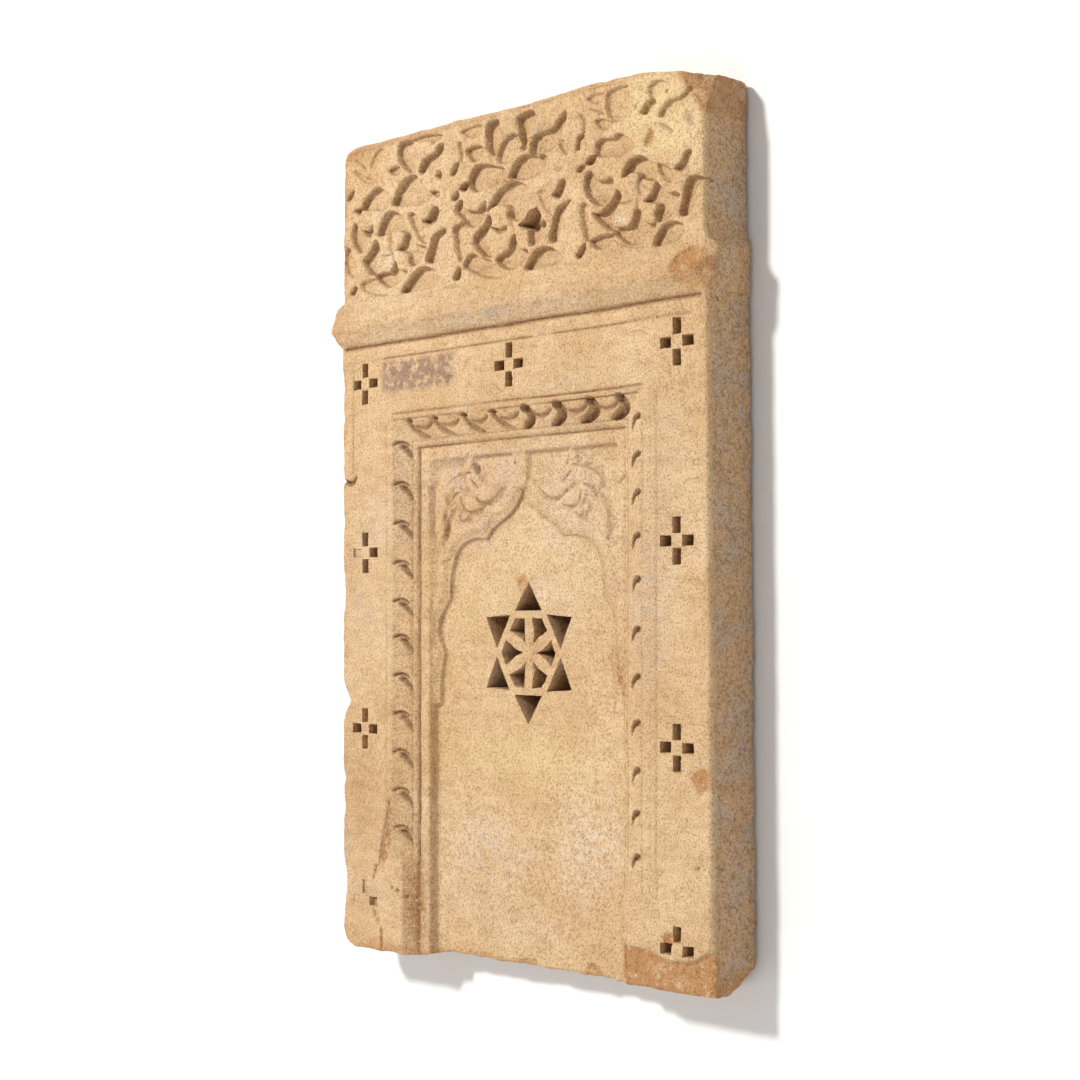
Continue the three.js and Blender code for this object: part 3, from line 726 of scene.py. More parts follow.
@dataclass
class CuspedArch:
    """The cusped arch, its chamfered band and the plain field of the niche."""

    half: float = 124.0
    side: float = 121.0
    foot: float = -150.0
    rise: float = 194.0
    spandrel_top: float = 76.0
    niche_depth: float = 23.0
    band_depth: float = 16.0
    chamfer: float = 8.5
    band_width: float = 16.0
    places: tuple[Place, ...] = (
        (0, 1), (0.05, 0.915), (0.2, 0.868), (0.35, 0.82), (0.387, 0.777), (0.815, 0.816),
        (0.79, 0.5), (1.01, 0.377), (0.855, 0.243), (0.92, 0.114), (0.895, 0),
    )

    def opening(self) -> np.ndarray:
        """Draws the arch with the plain field below it.

        Returns:
            The closed outline, one row for each corner.
        """
        right: list[Place] = []
        for i in range(0, len(self.places) - 1, 2):
            start, bend, end = self.places[i:i + 3]
            for t in np.linspace(0.0, 1.0, 9)[:-1]:
                share = [(1 - t) ** 2 * a + 2 * t * (1 - t) * b + t * t * c
                         for a, b, c in zip(start, bend, end)]
                right.append((share[0] * self.half, self.foot + share[1] * self.rise))
        right.append((self.places[-1][0] * self.half, self.foot))
        below = [(self.half + 1, self.foot), (self.half + 1, -420.0)]
        one = right + below
        other = [(-x, z) for x, z in reversed(one)]
        return np.array(one + other[:-1])

    def carve(self, relief: Relief) -> None:
        """Cuts the field back inside the arch and leaves its band standing round it.

        Args:
            relief: The relief it is cut into.
        """
        where = relief.within(-self.half - 4, self.half + 4, -400, self.spandrel_top + 2)
        x, z = relief.x[where], relief.z[where]
        shake = (x, z * 0, z)
        inside = inside_outline(x + 0.8 * grain(shake, 22.0, 61, 2), z + 0.8 * grain(shake, 22.0, 67, 2),
                                self.opening())
        out = -inside
        edge = np.minimum(self.side - 1.5 - np.abs(x), self.spandrel_top - 1.5 - z)
        held = eased(edge, -1.5, 2.5)
        standing = eased(z, self.foot - 2.0, self.foot + 3.0) * held
        worn = 1.0 - 0.15 * eased(x, 20.0, 70.0) - 0.3 * eased(x, 80.0, 110.0) * eased(-z, 20.0, 60.0)
        band = eased(out, 0.5, 3.0) * (1 - eased(out, self.band_width - 3.0, self.band_width + 3.0))
        current = relief.depth[where]
        gentle = eased(x, -6.0, 24.0)
        reach = self.chamfer + 4.5 * gentle
        slope = np.clip((reach - out) / reach, 0.0, 1.0)
        proud = self.band_depth + 2.2 * gentle
        crown = proud + (self.niche_depth - 1.0 - proud) * slope ** 1.25
        spandrel = current * (1 - band * standing * worn) + crown * band * standing * worn
        field_depth = current * (1 - held) + self.niche_depth * held
        share = eased(inside, -1.4, 0.8)
        relief.depth[where] = spandrel * (1 - share) + field_depth * share
        # Painted on the arch: a dark line where the field meets the band and a faint one along the band's
        # outer edge, for dirt and painted shade, and a darker chamfer, partly stain and partly painted
        # shade.
        line = np.exp(-np.square((inside - 0.4) / 1.2)) * standing * (0.35 + 0.65 * worn)
        relief.score(where, 0.6 * line)
        relief.score(where, 0.3 * standing * slope * (out > 0) * (0.5 + 0.5 * gentle))
        rim = np.exp(-np.square((out - self.band_width) / 1.3)) * standing * worn
        relief.score(where, 0.28 * rim)


@dataclass
class SpandrelSprays:
    """The worn leaf sprays in the spandrels and the finial over the point of the arch."""

    depth: float = 14.2
    leaves: tuple[Stroke, ...] = (
        Stroke((-106, -2), (-108, 30), (-84, 40), 9, (0.5, 0.8)),
        Stroke((-98, 45), (-84, 57), (-62, 55), 15, (0.6, 1.0)),
        Stroke((-72, 52), (-64, 60), (-66, 75), 14, (1.0, 0.4)),
        Stroke((-64, 56), (-44, 28), (-22, 49), 18, (0.9, 0.15)),
        Stroke((-84, 42), (-68, 27), (-54, 33), 16, (0.8, 0.7)),
        Stroke((-84, 27), (-80, 16), (-71, 20), 8, (0.6, 0.9)),
        Stroke((-104, 8), (-98, 29), (-84, 32), 6, (0.4, 0.7)),
    )
    notches: tuple[Stroke, ...] = (
        Stroke((-97, 31), (-91, 42), (-80, 43.5), 3.4),
        Stroke((-77, 39), (-75, 19), (-52, 28), 2.6),
        Stroke((-80, 23), (-79, 13), (-69, 20), 2.4),
        Stroke((-60, 40), (-44, 23), (-23, 44.5), 3.4),
        Stroke((-98, 51), (-85, 61), (-63, 61), 1.8),
        Stroke((-62, 69), (-58, 65), (-57, 60), 4.4),
        Stroke((-86, 61), (-82, 59.5), (-79, 62), 3.2),
        Stroke((-65, 56), (-59, 50), (-53, 46), 1.8),
    )
    notch_depth: float = 2.0
    crown_fall: float = 1.6
    right_share: float = 0.85
    finial: Stroke = Stroke((0, 53), (0, 61), (0, 77), 22, (0.9, 0.7))

    def carve(self, relief: Relief) -> None:
        """Leaves both sprays and the finial standing, the right one more worn than the left.

        Args:
            relief: The relief they stand on.
        """
        for side, proud in ((1, 1.0), (-1, self.right_share)):
            depth = SPANDREL_DEPTH - (SPANDREL_DEPTH - self.depth) * proud
            for leaf in self.leaves:
                stroke = self.mirrored(leaf, side)
                where = relief.within(*stroke.box(4.0))
                inside = stroke.inside(relief.x[where], relief.z[where])
                crown = self.crown_fall * np.clip(1.0 - inside / 5.0, 0.0, 1.0) ** 2
                relief.lift(where, inside, depth, 2.8 + 1.6 * (1 - proud))
                relief.press(where, crown * (inside > 0) * proud)
            for notch in self.notches:
                relief.groove(self.mirrored(notch, side), self.notch_depth * proud)
        where = relief.within(*self.finial.box(4.0))
        relief.lift(where, self.finial.inside(relief.x[where], relief.z[where]), self.depth, 3.5)

    def mirrored(self, leaf: Stroke, side: int) -> Stroke:
        """The same stroke, or the one that answers it across the panel."""
        start, bend, end = ((side * x, z) for x, z in (leaf.start, leaf.bend, leaf.end))
        return Stroke(start, bend, end, leaf.width, leaf.tips)


@dataclass
class IncisedLines:
    """The lines scored on the face round the frame and under the ledge.

    Attributes:
        lines: The start, end, width and depth of each line.
    """

    lines: tuple[tuple[Place, Place, float, float], ...] = (
        ((-227, 173), (220, 173), 1.7, 1.6),
        ((-217, 66), (-217, 168), 1.8, 1.1),
        ((-160, 120), (164, 120), 1.6, 2.4),
        ((-160, 114), (160, 114), 1.3, 2.2),
        ((163.5, -300), (163.5, 116), 1.3, 0.7),
        ((173, -300), (173, 116), 1.2, 0.4),
        ((179.5, -300), (179.5, 116), 2.6, 0.8),
        ((-167, -290), (-167, 112), 2.0, 0.7),
        ((-142, -341.5), (-124, -341.5), 1.6, 1.5),
    )

    def carve(self, relief: Relief) -> None:
        """Scores each line, wavering and worn away in places as a hand-cut line is.

        Args:
            relief: The relief they are scored into.
        """
        for number, (start, end, width, deep) in enumerate(self.lines):
            upright = abs(end[0] - start[0]) < abs(end[1] - start[1])
            low = (min(start[0], end[0]), min(start[1], end[1]))
            high = (max(start[0], end[0]), max(start[1], end[1]))
            where = relief.within(low[0] - 4, high[0] + 4, low[1] - 4, high[1] + 4)
            x, z = relief.x[where], relief.z[where]
            along, across, place = (z, x, start[0]) if upright else (x, z, start[1])
            lane = (along, along * 0 + 40.0 * number, along * 0)
            waver = 0.9 * grain(lane, 60.0, 71, 3)
            first, last = (low[1], high[1]) if upright else (low[0], high[0])
            ends = eased(along, first - 1, first + 3) * (1 - eased(along, last - 3, last + 1))
            kept = 0.45 + 0.55 * eased(grain(lane, 45.0, 73, 2), -0.5, 0.2)
            line = np.exp(-np.square((across - place - waver) / (width * 0.55))) * ends * kept
            relief.press(where, deep * line)
            # Paints the line dark: dirt in it, and painted shade.
            relief.score(where, min(1.0, deep * 0.5) * line)


@dataclass
class PiercedStar:
    """The pierced six-pointed star with the flower in its middle."""

    centre: Place = (STAR_ACROSS, -101.6)
    radius: float = 66.2
    bar: float = 4.2
    boss_radius: float = 8.0
    sunk_half: float = 70.0
    near_depth: float = 17.0
    far_depth: float = 66.0
    taper: float = 0.8

    def around(self, radius: float, degrees: float) -> Place:
        """A place at a distance and a turn from the star's centre."""
        turn = math.radians(degrees)
        return self.centre[0] + radius * math.cos(turn), self.centre[1] + radius * math.sin(turn)

    def openings(self) -> list[Outline]:
        """Draws the six outer points and the six gaps between the petals.

        Returns:
            The outlines of all twelve openings.
        """
        inner = self.radius / math.sqrt(3)
        outlines: list[Outline] = []
        for turn in range(0, 360, 60):
            corners = [self.around(inner + self.bar * 0.75, turn + 30 + side * 26) for side in (-1, 1)]
            outlines.append([self.around(self.radius - self.bar / 2, turn + 30), *corners])
            outlines.append([
                self.around(inner - self.bar * 0.7, turn),
                self.around(inner - self.bar * 1.5, turn + 22),
                self.around(inner * 0.46, turn + 11),
                self.around(self.boss_radius, turn),
                self.around(inner * 0.46, turn - 11),
                self.around(inner - self.bar * 1.5, turn - 22),
            ])
        return outlines

    def carve(self, relief: Relief) -> None:
        """Facets the petals and bars, and sinks the star's face a little below the field.

        Args:
            relief: The relief it is cut into.
        """
        across, up = self.centre
        where = relief.within(across - self.sunk_half, across + self.sunk_half,
                              up - self.sunk_half, up + self.sunk_half)
        x, z = relief.x[where] - across, relief.z[where] - up
        away = np.hypot(x, z)
        turn = (np.degrees(np.arctan2(z, x)) + 360.0) % 60.0
        off_axis = np.abs(turn - 30.0)
        petals = (1 - eased(away, 24.0, 30.0)) * eased(away, 6.0, 9.0)
        facet = np.clip(off_axis / 22.0, 0.0, 1.0) * petals
        relief.press(where, 0.4 + 1.6 * facet * (1 - eased(away, 55.0, 64.0)))
        relief.press(where, 0.9 * np.exp(-np.square((away - 7.2) / 1.0)))


@dataclass
class SunkCrosses:
    """The small crosses, each four square holes round a solid middle.

    Attributes:
        worn: Depth of the holes that are filled, worn or lost, by side, row and name.
    """

    arm: float = 14.0
    arm_width: float = 9.4
    side_arm: float = 13.0
    middle: float = 11.4
    depth: float = 13.0
    across: tuple[float, float] = (-198.6, 202.0)
    middle_across: float = STAR_ACROSS
    rows: tuple[float, ...] = (151.5, -8.6, -175.4, -338.0)
    taper: float = 0.82
    worn: dict[tuple[int, int, str], float] = field(default_factory=lambda: {
        (-1, 1, "left"): 2.2, (-1, 2, "top"): 7.0, (-1, 2, "foot"): 6.0,
        (-1, 3, "top"): 2.4, (-1, 3, "left"): 1.2, (-1, 3, "foot"): 0.0, (-1, 3, "right"): 5.5,
        (1, 3, "foot"): 0.0, (1, 3, "top"): 8.0,
    })

    def holes(self, x: float, z: float) -> dict[str, Box]:
        """Places the four holes of one cross.

        Args:
            x: Middle of the cross across the panel.
            z: Height of its middle.

        Returns:
            Left, right, foot and top of each hole, by name.
        """
        near, half = self.middle / 2, self.arm_width / 2
        return {
            "top": (x - half, x + half, z + near, z + near + self.arm),
            "foot": (x - half, x + half, z - near - self.arm, z - near),
            "left": (x - near - self.side_arm, x - near, z - half, z + half),
            "right": (x + near, x + near + self.side_arm, z - half, z + half),
        }

    def sound(self) -> list[tuple[Box, float]]:
        """Lists the holes that are still clear.

        Returns:
            Each hole with its depth.
        """
        found = []
        for side in (-1, 1):
            for row, z in enumerate(self.rows):
                for name, hole in self.holes(self.across[side > 0], z).items():
                    depth = self.worn.get((side, row, name), self.depth)
                    if depth > 0:
                        found.append((hole, depth))
        found += [(hole, self.depth) for hole in self.holes(self.middle_across, self.rows[0]).values()]
        return found


@dataclass(frozen=True)
class Spall:
    """A flake broken out of the front: its outline, how deep it goes and how freshly it broke."""

    corners: Outline
    depth: float
    fresh: float = 1.0


@dataclass
class Breakage:
    """Chips, spalls and pits, as the stone has them now.

    Attributes:
        spalls: The flakes broken out of the front.
        notches: Cracks and cuts, each with its depth.
        pits: Place across, height, radius and depth of each pit.
        broad: Radius over which a pit's depth counts from the outer face, not from the face round it.
    """

    spalls: tuple[Spall, ...] = (
        Spall(((134, -318), (141, -338), (165, -341), (195, -347), (220, -344), (240, -338), (246, -384),
               (142, -384)), 3.4),
        Spall(((188, -326), (196, -324), (199, -331), (192, -337), (187, -333)), 2.6),
        Spall(((203, 218), (212, 224), (226, 225), (238, 216), (244, 205), (205, 204)), 2.4),
        Spall(((-34, 48), (-26, 52), (-22, 44), (-31, 41)), 0.8, 0.5),
        Spall(((-12, -36), (-2, -32), (1, -42), (-8, -48)), 1.0, 0.8),
        Spall(((74, -378), (78, -367), (88, -367), (96, -374), (97, -386), (75, -386)), 3.0, 0.8),
        Spall(((-14, -380), (-4, -373), (10, -371), (15, -375), (9, -386), (-12, -386)), 2.5, 0.6),
        Spall(((218, -196), (228, -190), (236, -194), (236, -206), (226, -210), (219, -204)), 1.0),
        Spall(((166, 315), (172, 316), (176, 323), (172, 328), (167, 323)), 3.0),
        Spall(((210, 205), (240, 200), (240, 190), (212, 193)), 1.5, 0.6),
    )
    notches: tuple[tuple[Stroke, float], ...] = (
        (Stroke((-228, 60), (-219, 54), (-212, 64), 4.4, (1.0, 0.4)), 7.0),
        (Stroke((120, 41), (128, 44), (134, 50), 2.0), 1.5),
        (Stroke((-104, 43), (-97, 26), (-101, 2), 5.0, (0.6, 0.6)), 1.6),
        (Stroke((-110, -22), (-104, -20), (-97, -17), 2.4), 1.5),
        (Stroke((-163, -243), (-171, -268), (-178, -299), 2.2, (0.6, 0.8)), 2.2),
        (Stroke((-181, -303), (-184, -308), (-187, -316), 1.6), 1.4),
        (Stroke((-174.5, -361), (-175, -372), (-174.5, -384), 1.6), 1.4),
    )
    pits: tuple[tuple[float, float, float, float], ...] = (
        (-159, -322.5, 2.2, 3.0), (-150, -324.5, 2.4, 3.5), (-141, -329.5, 2.0, 3.0),
        (224, -270.5, 2.4, 3.5), (128, -303.5, 1.8, 2.5), (-110, 80.5, 1.3, 1.5),
        (-94, 80.5, 1.0, 1.2), (-5, 66.5, 1.6, 2.5), (-89, 40, 1.2, 1.5), (25, 54, 4.5, 1.4),
        (40, 22, 1.4, 2.0), (63, 23, 1.2, 1.5), (190, 355.5, 1.4, 3.0),
    )
    broad: float = 4.0

    def carve(self, relief: Relief) -> None:
        """Breaks the flakes and pits out of the carved face.

        Args:
            relief: The relief they are broken out of.
        """
        for spall in self.spalls:
            where, inside = self.near(relief, spall)
            places = (relief.x[where], inside * 0, relief.z[where])
            share = eased(inside + 1.6 * grain(places, 6.0, 83, 2), -0.8, 2.2)
            rough = 1.0 + 0.35 * grain(places, 4.0, 89, 2)
            relief.press(where, spall.depth * share * rough)
        for stroke, depth in self.notches:
            relief.groove(stroke, depth)
        for x, z, radius, depth in self.pits:
            where = relief.within(x - radius * 2, x + radius * 2, z - radius * 2, z + radius * 2)
            places = (relief.x[where], where * 0.0, relief.z[where])
            away = np.hypot(relief.x[where] - x, relief.z[where] - z)
            away = away + 0.25 * radius * grain(places, radius, 97, 2)
            share = eased(radius - away, -0.4, radius * 0.55)
            deeper = np.maximum(depth - relief.depth[where] * (radius > self.broad), 0.0)
            relief.press(where, deeper * share)
            # Marks the pit for the finish's dirt and painted shade.
            relief.hollow[where] = np.maximum(relief.hollow[where], share)

    def near(self, relief: Relief, spall: Spall) -> tuple[np.ndarray, np.ndarray]:
        """Finds the places near a spall.

        Args:
            relief: The relief it is in.
            spall: The spall.

        Returns:
            Numbers of the places, and their distances inside its edge.
        """
        corners = smoothed(spall.corners)
        low, high = corners.min(axis=0) - 5, corners.max(axis=0) + 5
        where = relief.within(low[0], high[0], low[1], high[1])
        return where, inside_outline(relief.x[where], relief.z[where], corners)

    def fresh(self, relief: Relief) -> np.ndarray:
        """Works out how freshly broken the front is.

        Args:
            relief: The relief with its places.

        Returns:
            One value from 0 to 1 for each place.
        """
        fresh = np.zeros(len(relief.x))
        for spall in self.spalls:
            where, inside = self.near(relief, spall)
            fresh[where] = np.maximum(fresh[where], spall.fresh * eased(inside, -2.0, 2.0))
        return fresh


@dataclass
class Carving:
    """All that is cut into the front, in the order in which it is cut."""

    frieze: Frieze = field(default_factory=Frieze)
    ledge: Ledge = field(default_factory=Ledge)
    steps: SteppedFrame = field(default_factory=SteppedFrame)
    leaves: LeafBand = field(default_factory=LeafBand)
    arch: CuspedArch = field(default_factory=CuspedArch)
    sprays: SpandrelSprays = field(default_factory=SpandrelSprays)
    lines: IncisedLines = field(default_factory=IncisedLines)
    star: PiercedStar = field(default_factory=PiercedStar)
    breakage: Breakage = field(default_factory=Breakage)

    def over(self, x: np.ndarray, z: np.ndarray) -> Relief:
        """Carves a set of places.

        Args:
            x: Place across the panel.
            z: Height.

        Returns:
            The relief with its depths and hollows.
        """
        relief = Relief(x, z)
        for step in (self.frieze, self.steps, self.leaves, self.arch, self.sprays, self.star,
                     self.lines, self.ledge, self.breakage):
            step.carve(relief)
        places = (x, z * 0, z)
        relief.depth += 0.45 * grain(places, 42.0, 3, 2) + 0.34 * grain(places, 9.0, 7, 3)
        pits = np.clip(lattice_noise(places, 3.4, 11) - 0.72, 0.0, 1.0)
        relief.depth += 3.2 * pits
        return relief


@dataclass
class Slab:
    """The block itself: its worn outline, rounded edges, rough sides and hewn back."""

    half: float = 234.0
    crown: float = 380.0
    thickness: float = SLAB_THICKNESS
    flare: float = 7.0
    column_step: float = 1.0
    rings: int = 26
    row_zones: tuple[tuple[float, float, float], ...] = (
        (-380.0, -160.0, 1.7), (-160.0, 125.0, 1.1), (125.0, 187.0, 1.3), (187.0, 380.0, 1.0),
    )
    bites: tuple[tuple[float, float, float], ...] = (
        (61.0, 2.5, 4.0), (-149.5, 12.0, 11.0), (-224.0, 3.5, 6.0), (-324.0, 5.0, 24.0), (22.0, 2.0, 9.0),
        (-250.0, 3.0, 8.0), (-40.0, 2.0, 12.0),
    )
    corner_radii: tuple[float, float, float, float] = (22.0, 9.0, 18.0, 7.0)
    top_line: tuple[tuple[float, ...], tuple[float, ...]] = (
        (-234, -205, -150, -60, 20, 110, 160, 185, 205, 234),
        (379, 379.5, 378.5, 378.5, 376.5, 378, 376.5, 373, 369, 364),
    )
    foot_line: tuple[tuple[float, ...], tuple[float, ...]] = (
        (-234, -212, -128, -112, -98, -40, 40, 120, 150, 238),
        (-384.5, -385, -384.5, -381, -379, -380, -378.5, -377, -374.5, -374),
    )
    breaks: tuple[tuple[Place, float, tuple[float, float, float]], ...] = (
        ((208.0, -56.0), 360.0, (0.55, -0.72, 0.42)),
        ((228.0, -2.0), 363.0, (0.583, 0.423, 0.694)),
        ((228.0, -2.0), -362.0, (0.583, 0.423, -0.694)),
        ((226.0, -56.0), 340.0, (0.72, -0.69, 0.05)),
        ((-226.0, -4.0), 372.0, (-0.5, 0.5, 0.7)),
    )
    ledge: Ledge = field(default_factory=Ledge)
    end_share: float = 0.96

    def rows(self, coarse: float) -> np.ndarray:
        """Spaces the rows of the front, closer together where the carving is finer.

        Args:
            coarse: How many times wider than usual they are spaced.

        Returns:
            Their heights.
        """
        heights = [self.row_zones[0][0]]
        for low, high, step in self.row_zones:
            count = max(2, round((high - low) / (step * coarse)))
            heights.extend(np.linspace(low, high, count + 1)[1:])
        return np.array(heights)

    def left_edge(self, z: np.ndarray) -> np.ndarray:
        """Wears the left edge in.

        Args:
            z: Heights.

        Returns:
            How far it is worn in at each height.
        """
        lane = (z * 0, z * 0, z)
        worn = sum(deep * np.exp(-np.square((z - at) / reach)) for at, deep, reach in self.bites)
        rough = 0.9 * grain(lane, 21.0, 101, 3) + 0.9 + 0.5 * grain(lane, 6.0, 102, 2)
        return worn + rough - self.ledge.side_reach * self.ledge.end_profile(z) * self.end_share

    def right_edge(self, z: np.ndarray) -> np.ndarray:
        """Spreads the right edge towards the foot.

        Args:
            z: Heights.

        Returns:
            How far it stands out at each height.
        """
        flare = self.flare * np.clip((230.0 - z) / 610.0, 0.0, 1.0)
        inset = 3.0 * eased(z, 232.0, 240.0)
        rough = 0.9 * grain((z * 0 + 500.0, z * 0, z), 21.0, 103, 3) + 0.9
        return flare - inset - rough + self.ledge.side_reach * self.ledge.end_profile(z) * self.end_share

    def front_places(self, u: np.ndarray, z: np.ndarray) -> tuple[np.ndarray, np.ndarray, np.ndarray]:
        """Lays the even grid of the front on the worn outline.

        Args:
            u: Place across, from 0 at the left edge to 1 at the right.
            z: Height on the unworn block.

        Returns:
            x, z and the distance to the nearest edge.
        """
        x = (u * 2.0 - 1.0) * self.half
        edge = np.minimum(self.half - np.abs(x), self.crown - np.abs(z))
        near_left = np.clip(1.0 - (x + self.half) / 22.0, 0.0, 1.0) ** 2
        near_right = np.clip(1.0 - (self.half - x) / 26.0, 0.0, 1.0) ** 2
        near_top = np.clip(1.0 - (self.crown - z) / 26.0, 0.0, 1.0) ** 2
        near_foot = np.clip(1.0 - (z + self.crown) / 40.0, 0.0, 1.0) ** 2
        top_wear = 0.7 * grain((x, x * 0, x * 0), 12.0, 107, 3)
        foot_wear = 1.3 * grain((x, x * 0 + 90.0, x * 0), 18.0, 109, 3)
        new_x = x + self.left_edge(z) * near_left + self.right_edge(z) * near_right
        new_z = z + (np.interp(x, *self.top_line) + top_wear - self.crown - 0.7) * near_top
        new_z += (np.interp(x, *self.foot_line) + foot_wear + self.crown + 1.0) * near_foot
        signs = ((-1, 1), (1, 1), (-1, -1), (1, -1))
        for (side, up), radius in zip(signs, self.corner_radii):
            a = (side * new_x - self.half + radius) / radius
            b = (up * new_z - self.crown + radius) / radius
            held = (a > 0) & (b > 0)
            short_a = a * np.sqrt(np.clip(1.0 - np.minimum(b, 1.2) ** 2 / 2.0, 0.1, 1.0))
            short_b = b * np.sqrt(np.clip(1.0 - np.minimum(a, 1.2) ** 2 / 2.0, 0.1, 1.0))
            new_x = np.where(held, side * (self.half - radius + short_a * radius), new_x)
            new_z = np.where(held, up * (self.crown - radius + short_b * radius), new_z)
        return new_x, new_z, edge

    def round_over(self, x: np.ndarray, z: np.ndarray, edge: np.ndarray) -> np.ndarray:
        """Rounds the front's edges unevenly.

        Args:
            x: Places across the panel.
            z: Heights.
            edge: Distance to the nearest edge.

        Returns:
            How far each place falls away.
        """
        places = (x, z * 0, z)
        radius = 2.6 + 1.2 * grain(places, 26.0, 113, 2)
        radius += 5.0 * np.clip(grain(places, 15.0, 127, 2) - 0.25, 0.0, 1.0)
        short = np.clip(radius - edge, 0.0, None)
        return radius - np.sqrt(np.clip(radius**2 - np.minimum(short, radius) ** 2, 0.0, None))

    def side_places(self, x: np.ndarray, z: np.ndarray, start: np.ndarray, share: np.ndarray) -> np.ndarray:
        """Places on the rough sides, a share of the way back from the front's edge.

        Args:
            x: Place of the front's edge across the panel.
            z: Height of the front's edge.
            start: Depth of the front's edge.
            share: How far back, from 0 to 1.

        Returns:
            One row of x, y and z for each place.
        """
        inner = 24.0
        toward = np.stack([x - np.clip(x, inner - self.half, self.half - inner),
                           z - np.clip(z, inner - self.crown, self.crown - inner)], 1)
        toward /= np.maximum(np.linalg.norm(toward, axis=1, keepdims=True), 1e-6)
        depth = start + (self.thickness + 5.0 - start) * share
        places = (x, depth, z)
        rough = 1.3 * grain(places, 13.0, 131, 3) + 0.7 * grain(places, 3.4, 137, 2)
        rough -= 2.4 * np.clip(grain(places, 8.0, 139, 2) - 0.3, 0.0, 1.0)
        left = np.clip(self.thickness + 0.5 - depth, 0.0, None)
        radius = 4.5 + 2.6 * grain((x, z * 0, z), 24.0, 149, 2)
        short = np.clip(radius - left, 0.0, radius)
        inset = radius - np.sqrt(np.clip(radius**2 - short**2, 0.0, None))
        out = (rough - 0.8) * eased(share, 0.0, 0.08) - inset
        returned = self.ledge.side_reach * self.ledge.end_profile(z) * 0.8 * eased(depth, 6.0, 52.0)
        new_x = x + toward[:, 0] * out - np.sign(x) * returned * (np.abs(x) > self.half - 12)
        return np.stack([new_x, depth - self.thickness, z + toward[:, 1] * out], 1)

    def knock_off(self, places: np.ndarray) -> np.ndarray:
        """Breaks the corners off along rough planes.

        Args:
            places: One row of x, y and z for each place.

        Returns:
            The places, with those that stood over a plane laid on it.
        """
        for (x, y), z, normal in self.breaks:
            way = np.array(normal) / np.linalg.norm(normal)
            over = (places - (x, y, z)) @ way
            over += 1.6 * grain(tuple(places.T), 11.0, 151, 3)
            places = places - np.clip(over, 0.0, None)[:, None] * way
        return places


class Weather(Enum):
    """The masks that the stone carries for its finish."""

    # Dark paint in hollows, grooves and openings: dirt there, and painted shade.
    HOLLOW_DIRT_AND_SHADE = "hollow"
    FRESH = "fresh_break"
    FLANK = "flank"
    DUST = "pink_dust"
    PALE = "pale_bed"
    RUST = "rust_run"
    PATCH = "dark_patch"
    # Greyer blots on the front, and painted shade along the ledge's underside.
    GREY_AND_LEDGE_SHADE = "grey_and_ledge_shade"
    LIGHT = "light_scuff"


@dataclass(frozen=True)
class Blot:
    """A soft-edged stain on the front: its middle, its half sizes and its strength."""

    x: float
    z: float
    half_x: float
    half_z: float
    strength: float = 1.0


